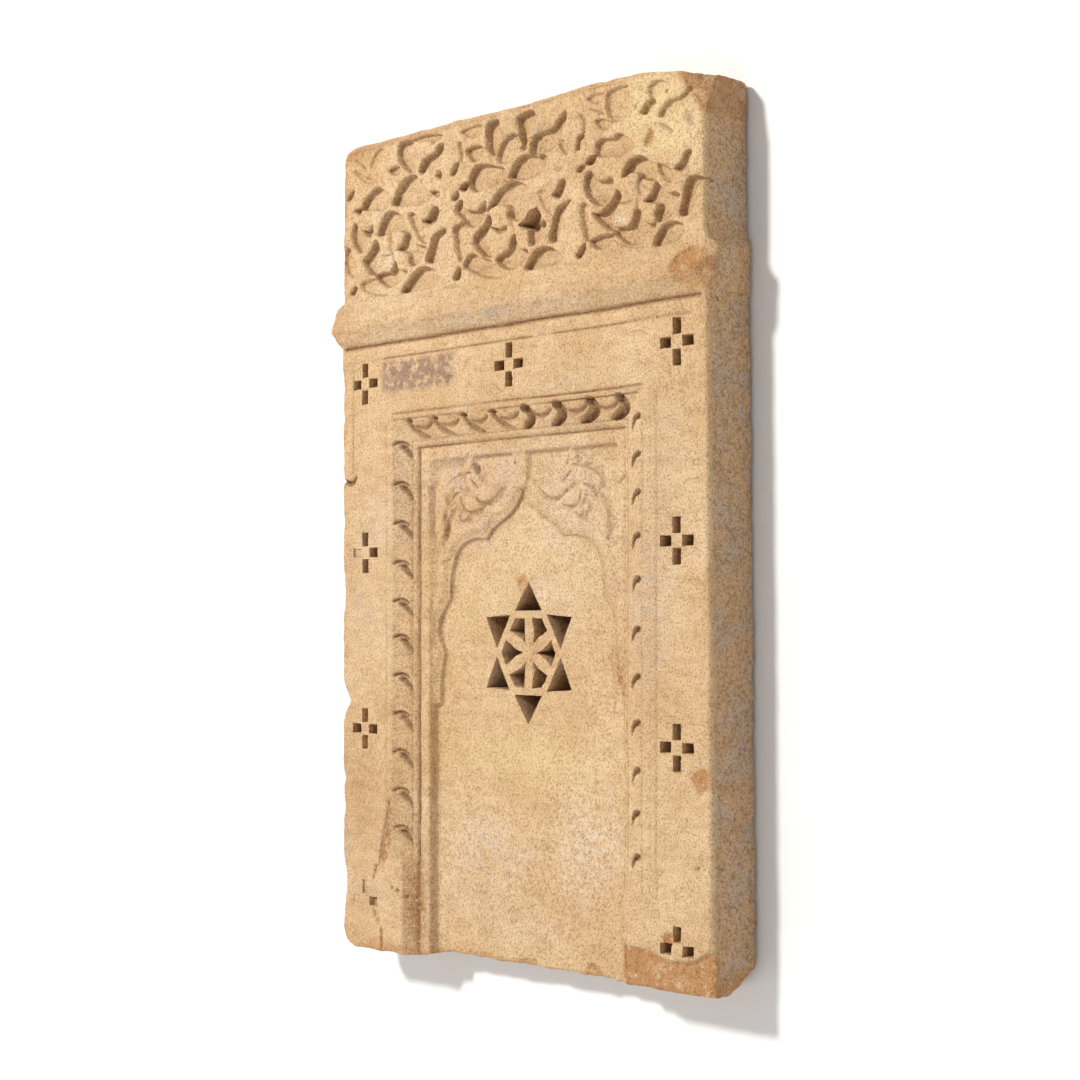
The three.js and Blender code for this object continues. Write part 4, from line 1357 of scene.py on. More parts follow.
@dataclass
class Weathering:
    """Works out where the stone is stained, dusty, freshly broken or bleached, and where painted shade
    darkens its hollows, grooves, openings and the ledge's underside.
    """

    carving: Carving
    thickness: float = SLAB_THICKNESS
    patch_middle: Place = (-122.0, 155.0)
    patch_half: Place = (51.0, 14.5)
    inner_half: Place = (222.0, 366.0)
    dust: tuple[Blot, ...] = (
        Blot(-70, 60, 40, 22, 0.8), Blot(-22, 56, 22, 20, 0.9), Blot(60, 30, 40, 36, 0.5),
        Blot(-60, 8, 30, 16, 0.7), Blot(-120, 40, 16, 40, 0.4), Blot(36, 0, 24, 10, 0.5),
        Blot(-30, 200, 70, 10, 0.4), Blot(-190, 225, 60, 8, 0.4), Blot(20, -60, 60, 30, 0.25),
        Blot(-50, -285, 48, 30, 0.7), Blot(-60, -330, 36, 18, 0.5), Blot(-190, 20, 30, 40, 0.35),
        Blot(-200, -60, 26, 40, 0.4), Blot(170, -60, 26, 60, 0.5), Blot(120, -20, 24, 40, 0.3),
    )
    pale: tuple[Blot, ...] = (
        Blot(178, 346, 38, 20, 1.0), Blot(192, 320, 32, 15, 0.9), Blot(10, -196, 90, 24, 0.6),
        Blot(40, -20, 60, 50, 0.35), Blot(-60, -60, 40, 40, 0.3),
    )
    brown: tuple[Blot, ...] = (
        Blot(-133, -335, 9, 44, 0.9), Blot(-210, -230, 26, 60, 0.35),
        Blot(-150, -270, 20, 60, 0.2), Blot(-34, -220, 26, 6, 0.25), Blot(110, -30, 16, 30, 0.2),
    )
    grey: tuple[Blot, ...] = (
        Blot(36, 354, 8, 7, 0.8), Blot(157, 282, 5, 7, 1.0), Blot(-150, 20, 8, 26, 0.5),
        Blot(-232, -146, 6, 20, 0.9), Blot(-226, -204, 7, 12, 0.7), Blot(-228, -286, 6, 20, 0.9),
        Blot(-212, -12, 7, 6, 1.0), Blot(190, 60, 26, 60, 0.35), Blot(170, -60, 20, 60, 0.35),
        Blot(-200, -330, 30, 12, 0.4), Blot(-2, 352, 7, 9, 0.5), Blot(100, 60, 40, 60, 0.2),
        # These three blots paint the ledge's downward-facing underside greyer and darker: painted shade.
        Blot(-20, 196, 70, 8, 0.7), Blot(120, 196, 110, 8, 0.5), Blot(-150, 196, 70, 7, 0.35),
        Blot(190, 326, 7, 4, 0.8), Blot(214, 330, 5, 5, 0.8), Blot(-150, 72, 5, 16, 0.6),
    )
    light: tuple[Blot, ...] = (
        Blot(-160, 266, 8, 5, 0.9), Blot(138, 259, 6, 5, 0.9), Blot(120, -330, 3, 28, 0.9),
        Blot(20, -50, 14, 10, 0.8), Blot(70, 130, 60, 10, 0.3), Blot(-178, 310, 10, 8, 0.5),
        Blot(30, 80, 50, 30, 0.3), Blot(60, -20, 40, 50, 0.25), Blot(80, -265, 42, 46, 0.6),
        Blot(0, -345, 60, 22, 0.3), Blot(-60, -262, 16, 8, 0.7), Blot(10, -283, 12, 5, 0.7),
    )
    runs: tuple[Stroke, ...] = (
        Stroke((-164, -240), (-160, -256), (-165, -272), 5.0, (0.4, 1.0)),
        Stroke((-163, -262), (-164, -282), (-175, -300), 9.0, (0.5, 0.7)),
        Stroke((-180, -303), (-184, -306), (-187, -316), 3.4, (0.6, 0.6)),
        Stroke((-187, -346), (-181, -352), (-179, -358), 4.0, (0.6, 0.6)),
        Stroke((-174.5, -362), (-175, -372), (-174.5, -384), 3.4, (0.6, 0.6)),
        Stroke((118, -84), (120, -110), (135, -148), 4.0, (0.5, 0.5)),
    )

    def blots(self, blots: Sequence[Blot], x: np.ndarray, z: np.ndarray) -> np.ndarray:
        """Finds the strongest of the soft blots at each place.

        Args:
            blots: The blots.
            x: Places across the panel.
            z: Heights.

        Returns:
            One value from 0 to 1 for each place.
        """
        strongest = np.zeros(len(x))
        for blot in blots:
            away = np.square((x - blot.x) / blot.half_x) + np.square((z - blot.z) / blot.half_z)
            strongest = np.maximum(strongest, blot.strength * np.exp(-away * 0.9))
        return strongest

    def masks(self, places: np.ndarray, normals: np.ndarray) -> dict[Weather, np.ndarray]:
        """All masks over the stone.

        Args:
            places: One row of x, y and z for each vertex, in millimetres.
            normals: The normal of each vertex.

        Returns:
            One value from 0 to 1 for each vertex and mask.
        """
        x, y, z = places.T
        relief = self.carving.over(x, z)
        depth = y + self.thickness
        spread = tuple(places.T)
        drift = grain(spread, 16.0, 163, 3)
        front = 1.0 - eased(depth - np.maximum(relief.depth, 0.0), 3.0, 9.0)
        flank = np.maximum(1.0 - front, 0.0) * (1.0 - eased(np.abs(normals[:, 1]), 0.75, 0.95) * (y < -30))
        wall = 1.0 - eased(np.abs(normals[:, 1]), 0.45, 0.93)
        # Painted shade and dirt: steep walls of the hollows get most of the dark, as their shade, and the
        # grooves all of theirs.
        hollow = np.maximum(relief.hollow * (0.1 + 0.9 * wall), relief.crease) * front
        star = self.in_star(x, z)
        inner = (np.abs(x) < self.inner_half[0]) & (np.abs(z) < self.inner_half[1]) & (y < -6.0)
        # Painted shade: the walls inside the openings, holes and recesses are painted dark, less so round
        # the star.
        hollow = np.maximum(hollow, (1.0 - front) * inner * (0.95 - 0.4 * star))
        flank = flank * (1.0 - inner * (1.0 - star))
        fresh = self.carving.breakage.fresh(relief) * front
        fresh = np.maximum(fresh, self.broken_edges(x, y, z) * (0.4 + 0.6 * eased(drift, -0.5, 0.25)))
        rust = np.zeros(len(x))
        for run in self.runs:
            rust = np.maximum(rust, eased(run.inside(x, z), -2.0, 1.2))
        patch = eased(self.patch_half[0] - np.abs(x - self.patch_middle[0]), -2.0, 3.0)
        patch = patch * eased(self.patch_half[1] - np.abs(z - self.patch_middle[1]), -2.0, 3.0)
        return {
            Weather.HOLLOW_DIRT_AND_SHADE: hollow,
            Weather.FRESH: fresh,
            Weather.FLANK: flank,
            Weather.DUST: self.blots(self.dust, x, z) * front,
            Weather.PALE: self.blots(self.pale, x, z) * front,
            Weather.RUST: np.maximum(rust, self.blots(self.brown, x, z)) * front,
            Weather.PATCH: patch * front,
            Weather.GREY_AND_LEDGE_SHADE: self.blots(self.grey, x, z) * front,
            Weather.LIGHT: self.blots(self.light, x, z) * front,
        }

    def in_star(self, x: np.ndarray, z: np.ndarray) -> np.ndarray:
        """1 round the pierced star, where the deep walls are, and 0 elsewhere."""
        centre = self.carving.star.centre
        return (np.hypot(x - centre[0], z - centre[1]) < self.carving.star.radius + 4).astype(float)

    def broken_edges(self, x: np.ndarray, y: np.ndarray, z: np.ndarray) -> np.ndarray:
        """Finds where corners and edges broke off and show fresh orange-brown stone.

        Args:
            x: Places across the panel.
            y: Places from front to back.
            z: Heights.

        Returns:
            One value from 0 to 1 for each place.
        """
        top_right = eased(0.55 * (x - 208.0) + 0.42 * (z - 360.0), -2.5, 1.0) * eased(z, 318.0, 336.0)
        top_left = eased(-x, 182.0, 206.0) * eased(z, 356.0, 372.0) * 0.8
        foot_right = eased(x, 150.0, 205.0) * eased(-z, 345.0, 366.0)
        left_wall = eased(-x, 225.0, 231.0) * (0.3 + 0.4 * eased(z, 250.0, 300.0))
        crown = eased(z, 371.0, 377.0) * 0.55
        foot = eased(-z, 371.0, 378.0) * 0.6
        nose = eased(-self.thickness - y, 8.5, 10.5) * 0.2
        edges = (top_right, top_left, foot_right, left_wall, crown, foot, nose)
        return np.maximum.reduce(edges)


@dataclass
class CarvedStone:
    """The one piece: builds the carved block, opens its holes and carries its masks."""

    slab: Slab = field(default_factory=Slab)
    carving: Carving = field(default_factory=Carving)
    crosses: SunkCrosses = field(default_factory=SunkCrosses)
    most_triangles: int = 192000
    quick_spread: float = 2.2
    back_size: Place = (540.0, 860.0)
    crisp_degrees: float = 58.0
    name: str = "carved_stone"

    def build(self) -> bpy.types.Object:
        """Builds the finished stone.

        Returns:
            The object, at the origin, with its masks as attributes.
        """
        block = self.block()
        for cutter in (self.back_cutter(), self.hole_cutter()):
            self.cut_away(block, cutter)
        self.lighten(block)
        self.write_masks(block)
        return block

    def block(self) -> bpy.types.Object:
        """Draws a dense grid back into a block and carves its front.

        Returns:
            The block, before its back is hewn and its holes are opened.
        """
        coarse = 1.0
        heights = self.slab.rows(coarse)
        columns = round(self.slab.half * 2 / (self.slab.column_step * coarse))
        rings = round(self.slab.rings / math.sqrt(coarse))
        mesh = mesh_of(deepened_grid(columns, len(heights) - 1, rings), self.name)
        even = self.read(mesh)
        z = np.interp((even[:, 1] + 0.5) * (len(heights) - 1), np.arange(len(heights)), heights)
        x, z, edge = self.slab.front_places(even[:, 0] + 0.5, z)
        relief = self.carving.over(x, z)
        depth = relief.depth + self.slab.round_over(x, z, edge)
        share = np.round(-even[:, 2]) / rings
        front = np.stack([x, depth - self.slab.thickness, z], 1)
        sides = self.slab.side_places(x, z, depth, share)
        places = np.where((share > 0)[:, None], sides, front)
        self.write(mesh, self.slab.knock_off(places))
        return placed(self.name, mesh)

    def back_cutter(self) -> bpy.types.Object:
        """Makes a block whose front is hewn in rough furrows, to dress the back of the stone.

        Returns:
            The cutter.
        """
        mesh = mesh_of(deepened_grid(100, 150, 1), "back_cutter")
        even = self.read(mesh)
        x, z = even[:, 0] * self.back_size[0], even[:, 1] * self.back_size[1]
        spread = (x, z * 0, z)
        slant = x * 0.5 + z * 0.86
        furrow = 0.55 * np.abs(np.sin(slant / 9.0 + 1.8 * grain(spread, 70.0, 167, 2)))
        hewn = 1.0 + 0.9 * grain(spread, 46.0, 173, 3) + 0.4 * grain(spread, 9.0, 179, 2) + furrow
        back = even[:, 2] < -0.5
        y = np.where(back, 30.0, -np.clip(hewn, 0.05, 4.0))
        self.write(mesh, np.stack([x, y, z], 1))
        return placed("back_cutter", mesh)

    def hole_cutter(self) -> bpy.types.Object:
        """Makes all the tapering blocks that open the star and the crosses.

        Returns:
            One object with all of them.
        """
        bm = bmesh.new()
        star = self.carving.star
        for outline in star.openings():
            self.add_prism(bm, outline, star.near_depth, star.far_depth, star.taper)
        for (left, right, foot, top), depth in self.crosses.sound():
            corners = ((left, foot), (right, foot), (right, top), (left, top))
            self.add_prism(bm, corners, -3.0, depth, self.crosses.taper)
        for cuts in (2, 1):
            bmesh.ops.subdivide_edges(bm, edges=list(bm.edges), cuts=cuts, use_grid_fill=True)
        bmesh.ops.triangulate(bm, faces=list(bm.faces))
        bmesh.ops.recalc_face_normals(bm, faces=bm.faces)
        mesh = mesh_of(bm, "hole_cutter")
        places = self.read(mesh)
        spread = tuple(places.T)
        for axis, seed in ((0, 181), (2, 191)):
            shake = 0.55 * grain(spread, 7.0, seed, 2) + 0.25 * lattice_noise(spread, 2.4, seed + 5)
            places[:, axis] += shake
        self.write(mesh, places)
        return placed("hole_cutter", mesh)

    def add_prism(self, bm: bmesh.types.BMesh, outline: Outline, near: float, far: float,
                  taper: float) -> None:
        """Adds one closed prism, its far end smaller than its near end.

        Args:
            bm: The mesh that it goes into.
            outline: Corners of its near end.
            near: Depth of its near end.
            far: Depth of its far end.
            taper: Size of its far end as a share of its near end.
        """
        thick = self.slab.thickness
        corners = [bm.verts.new((x, near - thick, z)) for x, z in outline]
        cap = bm.faces.new(corners)
        pulled = bmesh.ops.extrude_face_region(bm, geom=[cap], use_keep_orig=True)["geom"]
        moved = [item for item in pulled if isinstance(item, bmesh.types.BMVert)]
        middle = sum((vert.co for vert in moved), Vector()) / len(moved)
        bmesh.ops.translate(bm, verts=moved, vec=(0.0, far - near, 0.0))
        for vert in moved:
            vert.co.x = middle.x + (vert.co.x - middle.x) * taper
            vert.co.z = middle.z + (vert.co.z - middle.z) * taper

    def cut_away(self, block: bpy.types.Object, cutter: bpy.types.Object) -> None:
        """Takes a cutter out of the block for good.

        Args:
            block: The block.
            cutter: The cutter, which is removed afterwards.
        """
        modifier = block.modifiers.new("cut", "BOOLEAN")
        modifier.operation = "DIFFERENCE"
        modifier.solver = "MANIFOLD"
        modifier.object = cutter
        self.settle(block)
        bpy.data.objects.remove(cutter)

    def lighten(self, block: bpy.types.Object) -> None:
        """Collapses flat stretches until the stone is light enough to keep.

        Args:
            block: The block, cut and opened.
        """
        triangles = sum(len(face.vertices) - 2 for face in block.data.polygons)
        if triangles > self.most_triangles:
            modifier = block.modifiers.new("lighten", "DECIMATE")
            modifier.ratio = self.most_triangles / triangles
            self.settle(block)
        LOG.info("%s: %d triangles from %d", self.name, len(block.data.polygons), triangles)

    def settle(self, block: bpy.types.Object) -> None:
        """Applies the modifiers of the block.

        Args:
            block: The block, which gets a new mesh.
        """
        graph = bpy.context.evaluated_depsgraph_get()
        finished = bpy.data.meshes.new_from_object(block.evaluated_get(graph))
        old = block.data
        block.modifiers.clear()
        block.data = finished
        bpy.data.meshes.remove(old)
        finished.name = self.name

    def write_masks(self, block: bpy.types.Object) -> None:
        """Stores each weather mask as an attribute and smooths the shading between crisp edges.

        Args:
            block: The finished block.
        """
        mesh = block.data
        mesh.polygons.foreach_set("use_smooth", np.ones(len(mesh.polygons), bool))
        mesh.set_sharp_from_angle(angle=math.radians(self.crisp_degrees))
        normals = np.zeros(len(mesh.vertices) * 3, np.float32)
        mesh.vertices.foreach_get("normal", normals)
        masks = Weathering(self.carving).masks(self.read(mesh) / MM, normals.reshape(-1, 3))
        for kind, values in masks.items():
            layer = mesh.attributes.new(kind.value, "FLOAT", "POINT")
            layer.data.foreach_set("value", values.astype(np.float32))

    def read(self, mesh: bpy.types.Mesh) -> np.ndarray:
        """Reads where the vertices lie.

        Args:
            mesh: The mesh.

        Returns:
            One row of x, y and z for each vertex, as the mesh has them.
        """
        flat = np.zeros(len(mesh.vertices) * 3, np.float32)
        mesh.vertices.foreach_get("co", flat)
        return flat.reshape(-1, 3).astype(float)

    def write(self, mesh: bpy.types.Mesh, places: np.ndarray) -> None:
        """Moves every vertex to its place, given in millimetres."""
        mesh.vertices.foreach_set("co", (places * MM).astype(np.float32).ravel())
        mesh.update()


class NodeSheet:
    """Short ways to add the nodes that a finish needs."""

    def __init__(self, tree: bpy.types.NodeTree) -> None:
        """Works on one node tree."""
        self.tree = tree
        self.tree.nodes.clear()

    def link(self, source: bpy.types.NodeSocket | float, target: bpy.types.NodeSocket) -> None:
        """Joins a socket, or sets a plain value.

        Args:
            source: The socket or the value.
            target: The input that it goes to.
        """
        if isinstance(source, bpy.types.NodeSocket):
            self.tree.links.new(source, target)
        else:
            target.default_value = source

    def add(self, kind: str, inputs: dict[str, bpy.types.NodeSocket | float]) -> bpy.types.Node:
        """Adds a node.

        Args:
            kind: Blender's name for its type.
            inputs: The socket or the value that goes to each input, by name.

        Returns:
            The node.
        """
        node = self.tree.nodes.new(kind)
        for name, value in inputs.items():
            self.link(value, node.inputs[name])
        return node

    def mask(self, kind: Weather) -> bpy.types.NodeSocket:
        """Reads one of the stone's own masks.

        Args:
            kind: Which mask.

        Returns:
            Its value at each place.
        """
        node = self.add("ShaderNodeAttribute", {})
        node.attribute_name = kind.value
        return node.outputs["Fac"]

    def places(self) -> bpy.types.NodeSocket:
        """The stone's own coordinates."""
        return self.tree.nodes.new("ShaderNodeTexCoord").outputs["Object"]

    def stretched(self, places: bpy.types.NodeSocket,
                  scale: tuple[float, float, float]) -> bpy.types.NodeSocket:
        """Coordinates drawn out along an axis."""
        return self.add("ShaderNodeMapping", {"Vector": places, "Scale": scale}).outputs["Vector"]

    def noise(self, places: bpy.types.NodeSocket, size_mm: float, detail: float = 3.0,
              rough: float = 0.55) -> bpy.types.NodeSocket:
        """Noise whose lumps are about one size across."""
        inputs = {"Vector": places, "Scale": 1.0 / (size_mm * MM), "Detail": detail, "Roughness": rough}
        return self.add("ShaderNodeTexNoise", inputs).outputs["Fac"]

    def cells(self, places: bpy.types.NodeSocket, size_mm: float) -> bpy.types.NodeSocket:
        """Distance to the nearest of many scattered points."""
        inputs = {"Vector": places, "Scale": 1.0 / (size_mm * MM)}
        return self.add("ShaderNodeTexVoronoi", inputs).outputs["Distance"]

    def between(self, value: bpy.types.NodeSocket, low: float, high: float) -> bpy.types.NodeSocket:
        """Rises smoothly from 0 at low to 1 at high; low may be the larger.

        Args:
            value: The value that it follows.
            low: The value that gives 0.
            high: The value that gives 1.

        Returns:
            The share.
        """
        first, last = (0.0, 1.0) if low < high else (1.0, 0.0)
        node = self.add("ShaderNodeMapRange", {
            "Value": value, "From Min": min(low, high), "From Max": max(low, high),
            "To Min": first, "To Max": last,
        })
        node.interpolation_type = "SMOOTHSTEP"
        return node.outputs["Result"]

    def sum(self, kind: str, one: bpy.types.NodeSocket | float,
            other: bpy.types.NodeSocket | float) -> bpy.types.NodeSocket:
        """Works out one sum.

        Args:
            kind: Blender's name for the sum.
            one: The first value.
            other: The second value.

        Returns:
            The result.
        """
        node = self.tree.nodes.new("ShaderNodeMath")
        node.operation = kind
        self.link(one, node.inputs[0])
        self.link(other, node.inputs[1])
        return node.outputs["Value"]

    def mixed(self, share: bpy.types.NodeSocket | float, one: bpy.types.NodeSocket | Sequence[float],
              other: bpy.types.NodeSocket | Sequence[float], blend: str = "MIX") -> bpy.types.NodeSocket:
        """Blends one colour into another.

        Args:
            share: How much of the other colour shows.
            one: The colour below.
            other: The colour laid over it.
            blend: Blender's blend type.

        Returns:
            The blended colour.
        """
        node = self.tree.nodes.new("ShaderNodeMix")
        node.data_type = "RGBA"
        node.blend_type = blend
        self.link(share, node.inputs[0])
        for colour, socket in ((one, node.inputs[6]), (other, node.inputs[7])):
            if isinstance(colour, bpy.types.NodeSocket):
                self.tree.links.new(colour, socket)
            else:
                socket.default_value = (*colour, 1.0)
        return node.outputs[2]


@dataclass(frozen=True)
class SandstoneFinish:
    """Weathered buff sandstone: its grain, speckle, bedding, dust, stains and fresh breaks, with painted
    shade in its hollows, grooves and openings and under the ledge.
    """

    buff: Colour = (0.74, 0.49, 0.26)
    light: Colour = (0.82, 0.585, 0.345)
    tan: Colour = (0.52, 0.31, 0.145)
    speck: Colour = (0.22, 0.115, 0.055)
    grain_shade: Colour = (0.60, 0.51, 0.42)
    grain_glint: Colour = (0.30, 0.24, 0.17)
    # Dark brown for hollows, grooves and openings: dirt there, and painted shade.
    hollow: Colour = (0.21, 0.09, 0.033)
    fresh: Colour = (0.50, 0.23, 0.08)
    flank: Colour = (0.66, 0.42, 0.235)
    flank_grey: Colour = (0.54, 0.44, 0.35)
    flank_dark: Colour = (0.28, 0.155, 0.075)
    dust: Colour = (0.74, 0.57, 0.47)
    pale: Colour = (0.86, 0.67, 0.34)
    rust: Colour = (0.42, 0.19, 0.07)
    patch: Colour = (0.20, 0.12, 0.12)
    # Grey for blots on the front and for painted shade under the ledge.
    grey: Colour = (0.46, 0.41, 0.36)
    chalk: Colour = (0.90, 0.80, 0.68)

    def material(self) -> bpy.types.Material:
        """Builds the finish.

        Returns:
            The material, whose pattern follows the stone's own coordinates and masks.
        """
        material = bpy.data.materials.new("weathered_sandstone")
        material.use_nodes = True
        sheet = NodeSheet(material.node_tree)
        places = sheet.places()
        colour = self.colour(sheet, places)
        shader = sheet.tree.nodes.new("ShaderNodeBsdfPrincipled")
        shader.inputs["Specular IOR Level"].default_value = 0.22
        output = sheet.tree.nodes.new("ShaderNodeOutputMaterial")
        sheet.link(colour, shader.inputs["Base Color"])
        rough = sheet.sum("MULTIPLY_ADD", sheet.noise(places, 6.0), 0.12)
        rough.node.inputs[2].default_value = 0.82
        sheet.link(rough, shader.inputs["Roughness"])
        sheet.link(self.bump(sheet, places), shader.inputs["Normal"])
        sheet.link(shader.outputs["BSDF"], output.inputs["Surface"])
        return material

    def colour(self, sheet: NodeSheet, places: bpy.types.NodeSocket) -> bpy.types.NodeSocket:
        """Lays the bedding, speckle, stains, painted shade and breaks over each other.

        Args:
            sheet: The node tree.
            places: The stone's own coordinates.

        Returns:
            The finished colour.
        """
        broad = sheet.between(sheet.noise(places, 85.0, 4.0), 0.36, 0.66)
        flat = sheet.stretched(places, (1.0, 1.0, 3.5))
        beds = sheet.between(sheet.noise(flat, 30.0, 5.0, 0.62), 0.44, 0.68)
        blotches = sheet.between(sheet.noise(places, 9.0, 4.0, 0.62), 0.46, 0.66)
        colour = sheet.mixed(broad, self.buff, self.light)
        colour = sheet.mixed(sheet.sum("MULTIPLY", beds, 0.36), colour, self.tan)
        colour = sheet.mixed(sheet.sum("MULTIPLY", blotches, 0.32), colour, self.tan)
        colour = self.stained(sheet, places, colour, Weather.PALE, (14.0, 0.25, 0.5), 0.85, self.pale)
        colour = self.stained(sheet, places, colour, Weather.DUST, (12.0, 0.35, 0.6), 0.8, self.dust)
        colour = self.stained(sheet, places, colour, Weather.LIGHT, (5.0, 0.4, 0.6), 0.8, self.chalk)
        colour = self.flanks(sheet, places, colour)
        # Greyer blots, and painted shade on the ledge's underside.
        colour = self.stained(sheet, places, colour, Weather.GREY_AND_LEDGE_SHADE, (6.0, 0.4, 0.62), 0.7, self.grey)
        # Painted shade and dirt in the hollows, grooves and openings.
        colour = self.stained(sheet, places, colour, Weather.HOLLOW_DIRT_AND_SHADE, (5.0, 0.1, 0.55), 0.74, self.hollow)
        colour = self.stained(sheet, places, colour, Weather.RUST, (5.0, 0.32, 0.52), 0.95, self.rust)
        colour = self.stained(sheet, places, colour, Weather.PATCH, (9.0, 0.34, 0.52), 0.62, self.patch)
        colour = self.stained(sheet, places, colour, Weather.FRESH, (10.0, 0.3, 0.5), 0.82, self.fresh)
        return self.speckled(sheet, places, colour)

    def stained(self, sheet: NodeSheet, places: bpy.types.NodeSocket, colour: bpy.types.NodeSocket,
                kind: Weather, drift: tuple[float, float, float], most: float,
                tint: Colour) -> bpy.types.NodeSocket:
        """Lays one stain, or painted shade, over the colour where its mask is, with a broken edge.

        Args:
            sheet: The node tree.
            places: The stone's own coordinates.
            colour: The colour below.
            kind: The mask of the stain.
            drift: Size of the noise that breaks it up, and where that noise starts and ends.
            most: How strong the stain is at most.
            tint: Its colour.

        Returns:
            The stained colour.
        """
        size_mm, low, high = drift
        broken = sheet.between(sheet.noise(places, size_mm, 4.0, 0.62), low, high)
        share = sheet.sum("MULTIPLY", sheet.sum("MULTIPLY", sheet.mask(kind), broken), most)
        return sheet.mixed(share, colour, tint)

    def speckled(self, sheet: NodeSheet, places: bpy.types.NodeSocket,
                 colour: bpy.types.NodeSocket) -> bpy.types.NodeSocket:
        """Strews the colour with brown, dark and pale grains of sand.

        Args:
            sheet: The node tree.
            places: The stone's own coordinates.
            colour: The colour below.

        Returns:
            The speckled colour.
        """
        brown = sheet.between(sheet.noise(places, 1.8, 3.0, 0.7), 0.48, 0.62)
        shade = sheet.mixed(1.0, colour, self.grain_shade, "MULTIPLY")
        colour = sheet.mixed(sheet.sum("MULTIPLY", brown, 0.9), colour, shade)
        apart = sheet.stretched(places, (1.3, 1.3, 1.3))
        quartz = sheet.between(sheet.noise(apart, 2.2, 3.0, 0.7), 0.54, 0.64)
        glint = sheet.mixed(1.0, colour, self.grain_glint, "SCREEN")
        colour = sheet.mixed(sheet.sum("MULTIPLY", quartz, 0.6), colour, glint)
        specks = sheet.between(sheet.cells(places, 4.2), 0.13, 0.05)
        few = sheet.between(sheet.noise(places, 9.0, 2.0), 0.46, 0.6)
        specks = sheet.sum("MULTIPLY", sheet.sum("MULTIPLY", specks, few), 0.8)
        return sheet.mixed(specks, colour, self.speck)

    def flanks(self, sheet: NodeSheet, places: bpy.types.NodeSocket,
               colour: bpy.types.NodeSocket) -> bpy.types.NodeSocket:
        """Turns the rough sides and the back browner and greyer.

        Args:
            sheet: The node tree.
            places: The stone's own coordinates.
            colour: The colour below.

        Returns:
            The colour with its darker sides.
        """
        blotch = sheet.between(sheet.noise(places, 34.0, 4.0, 0.62), 0.42, 0.68)
        flank = sheet.mixed(blotch, self.flank, self.flank_grey)
        warm = sheet.between(sheet.noise(places, 18.0, 4.0, 0.62), 0.5, 0.66)
        flank = sheet.mixed(sheet.sum("MULTIPLY", warm, 0.6), flank, self.tan)
        pits = sheet.between(sheet.noise(places, 4.0, 4.0, 0.7), 0.5, 0.62)
        flank = sheet.mixed(sheet.sum("MULTIPLY", pits, 0.7), flank, self.flank_dark)
        share = sheet.sum("MULTIPLY", sheet.mask(Weather.FLANK), 0.86)
        return sheet.mixed(share, colour, flank)

    def bump(self, sheet: NodeSheet, places: bpy.types.NodeSocket) -> bpy.types.NodeSocket:
        """Roughens the face with grain, pecking and small pits, deeper on the rough sides.

        Args:
            sheet: The node tree.
            places: The stone's own coordinates.

        Returns:
            The bent normal.
        """
        sand = sheet.between(sheet.noise(places, 1.7, 3.0, 0.7), 0.34, 0.66)
        peck = sheet.between(sheet.noise(places, 6.0, 3.0, 0.62), 0.34, 0.66)
        pits = sheet.between(sheet.cells(places, 5.0), 0.0, 0.16)
        hewn = sheet.sum("MULTIPLY", sheet.noise(places, 11.0, 5.0, 0.68), sheet.mask(Weather.FLANK))
        height = sheet.sum("ADD", sheet.sum("MULTIPLY", sand, 0.34), sheet.sum("MULTIPLY", peck, 0.4))
        height = sheet.sum("ADD", height, sheet.sum("MULTIPLY", pits, 0.35))
        height = sheet.sum("ADD", height, sheet.sum("MULTIPLY", hewn, 4.0))
        node = sheet.tree.nodes.new("ShaderNodeBump")
        node.inputs["Strength"].default_value = 1.0
        node.inputs["Distance"].default_value = 1.0 * MM
        sheet.link(height, node.inputs["Height"])
        return node.outputs["Normal"]


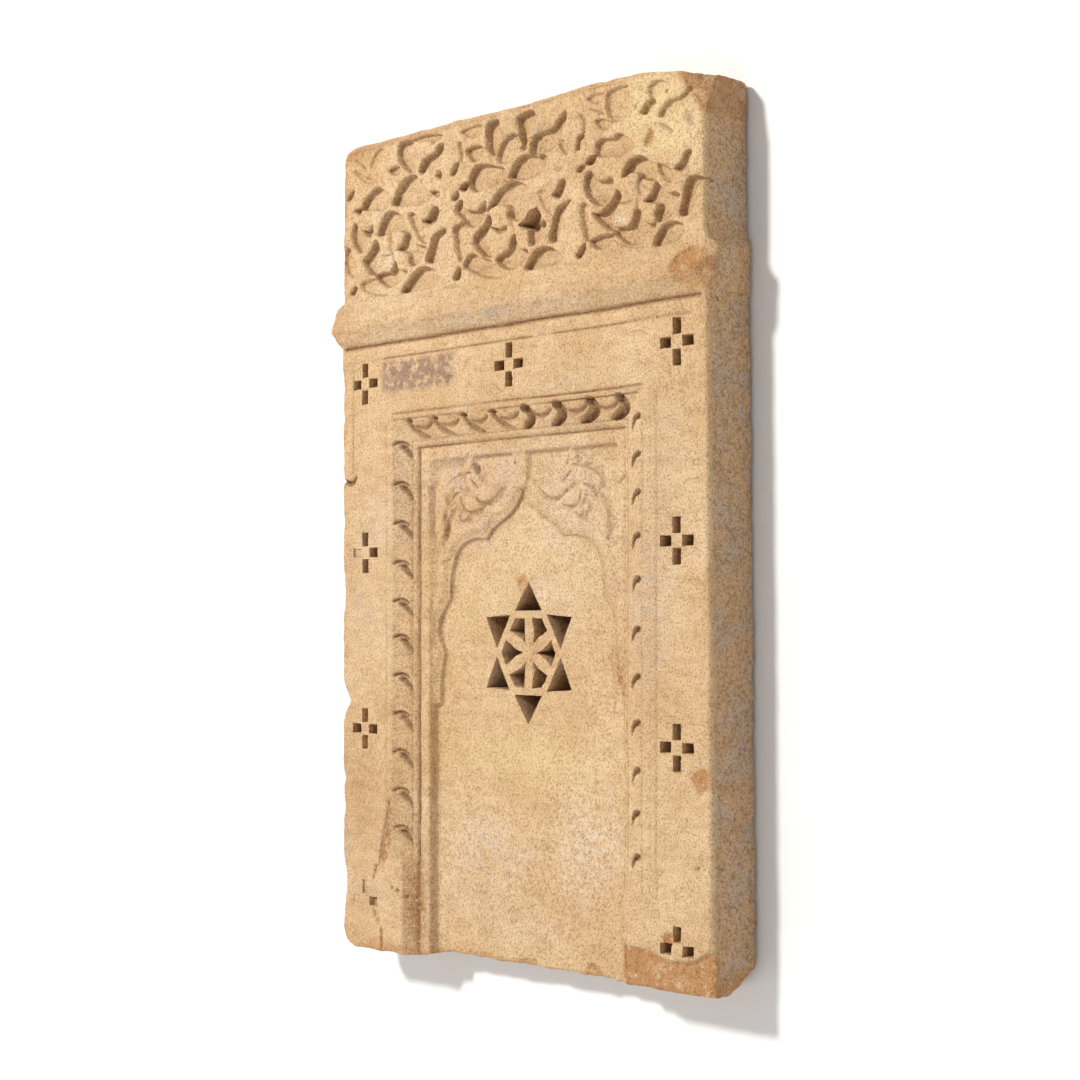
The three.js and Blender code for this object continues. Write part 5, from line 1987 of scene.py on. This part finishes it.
@dataclass
class Stage:
    """The white wall that the panel hangs on and the pale floor below it."""

    wall_gap: float = 0.002
    floor_drop: float = 1.1
    reach: float = 9.0
    white: Colour = (0.92, 0.92, 0.92)

    def build(self) -> None:
        """Builds both planes."""
        for name, turned in (("studio_wall", True), ("studio_floor", False)):
            bm = bmesh.new()
            bmesh.ops.create_grid(bm, x_segments=1, y_segments=1, size=self.reach)
            plane = placed(name, mesh_of(bm, name))
            plane.location = (0.0, self.wall_gap, 0.0) if turned else (0.0, 0.0, -self.floor_drop)
            plane.rotation_euler = (math.radians(90.0) if turned else 0.0, 0.0, 0.0)
            plane.data.materials.append(self.paint(name, turned))

    def paint(self, name: str, see_through: bool) -> bpy.types.Material:
        """Mixes matt white paint.

        Args:
            name: Name of the plane that it is for.
            see_through: Whether light passes through it and it can't be seen from behind.

        Returns:
            The material.
        """
        material = bpy.data.materials.new(name + "_paint")
        material.use_nodes = True
        sheet = NodeSheet(material.node_tree)
        nodes, links = sheet.tree.nodes, sheet.tree.links
        output = nodes.new("ShaderNodeOutputMaterial")
        matt = nodes.new("ShaderNodeBsdfDiffuse")
        matt.inputs["Color"].default_value = (*self.white, 1.0)
        if not see_through:
            links.new(matt.outputs["BSDF"], output.inputs["Surface"])
            return material
        behind = nodes.new("ShaderNodeNewGeometry").outputs["Backfacing"]
        shadow = nodes.new("ShaderNodeLightPath").outputs["Is Shadow Ray"]
        clear = nodes.new("ShaderNodeBsdfTransparent")
        mix = nodes.new("ShaderNodeMixShader")
        links.new(sheet.sum("MAXIMUM", behind, shadow), mix.inputs["Fac"])
        links.new(matt.outputs["BSDF"], mix.inputs[1])
        links.new(clear.outputs["BSDF"], mix.inputs[2])
        links.new(mix.outputs["Shader"], output.inputs["Surface"])
        return material


@dataclass
class StudioLight:
    """A key light from the upper left in front of the panel, with soft white fill all round."""

    key_from: tuple[float, float, float] = (-0.95, -3.2, 1.8)
    key_size: float = 0.45
    key_power: float = 117.0
    key_colour: Colour = (1.0, 0.985, 0.96)
    fill: float = 0.36

    def build(self) -> None:
        """Adds the key light and the fill."""
        data = bpy.data.lights.new("key", "AREA")
        data.shape = "DISK"
        data.size = self.key_size
        data.energy = self.key_power
        data.color = self.key_colour
        key = placed("key", data)
        key.location = self.key_from
        aim = Vector((0.0, 0.0, 0.0)) - Vector(self.key_from)
        key.rotation_euler = aim.to_track_quat("-Z", "Y").to_euler()
        world = bpy.data.worlds.new("soft_fill")
        world.use_nodes = True
        background = world.node_tree.nodes["Background"]
        background.inputs["Color"].default_value = (1.0, 1.0, 1.0, 1.0)
        background.inputs["Strength"].default_value = self.fill
        bpy.context.scene.world = world


@dataclass
class PhotoCamera:
    """The camera where the photograph was taken from."""

    place: tuple[float, float, float] = (1.290, -1.240, -0.0725)
    turn: float = 46.5
    lens: float = 66.57
    shift_up: float = 0.0741

    def build(self) -> None:
        """Adds the camera and makes it the scene's own."""
        data = bpy.data.cameras.new("photo_camera")
        data.sensor_width = 36.0
        data.lens = self.lens
        data.shift_y = self.shift_up
        data.clip_end = 100.0
        camera = placed("photo_camera", data)
        camera.location = self.place
        camera.rotation_euler = (math.radians(90.0), 0.0, math.radians(self.turn))
        bpy.context.scene.camera = camera


def main() -> None:
    """Builds the stone, its finish, the stage, the light and the camera in order."""
    logging.basicConfig(level=logging.INFO, format="%(name)s: %(message)s")
    PhotoCamera().build()
    stone = CarvedStone().build()
    stone.data.materials.clear()
    stone.data.materials.append(SandstoneFinish().material())
    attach(stone, "root")
    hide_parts("relief_panel")
    LOG.info("built %s with %d faces", stone.name, len(stone.data.polygons))
    Stage().build()
    StudioLight().build()
    bpy.context.scene.view_settings.view_transform = "Standard"


if __name__ == "__main__":
    main()
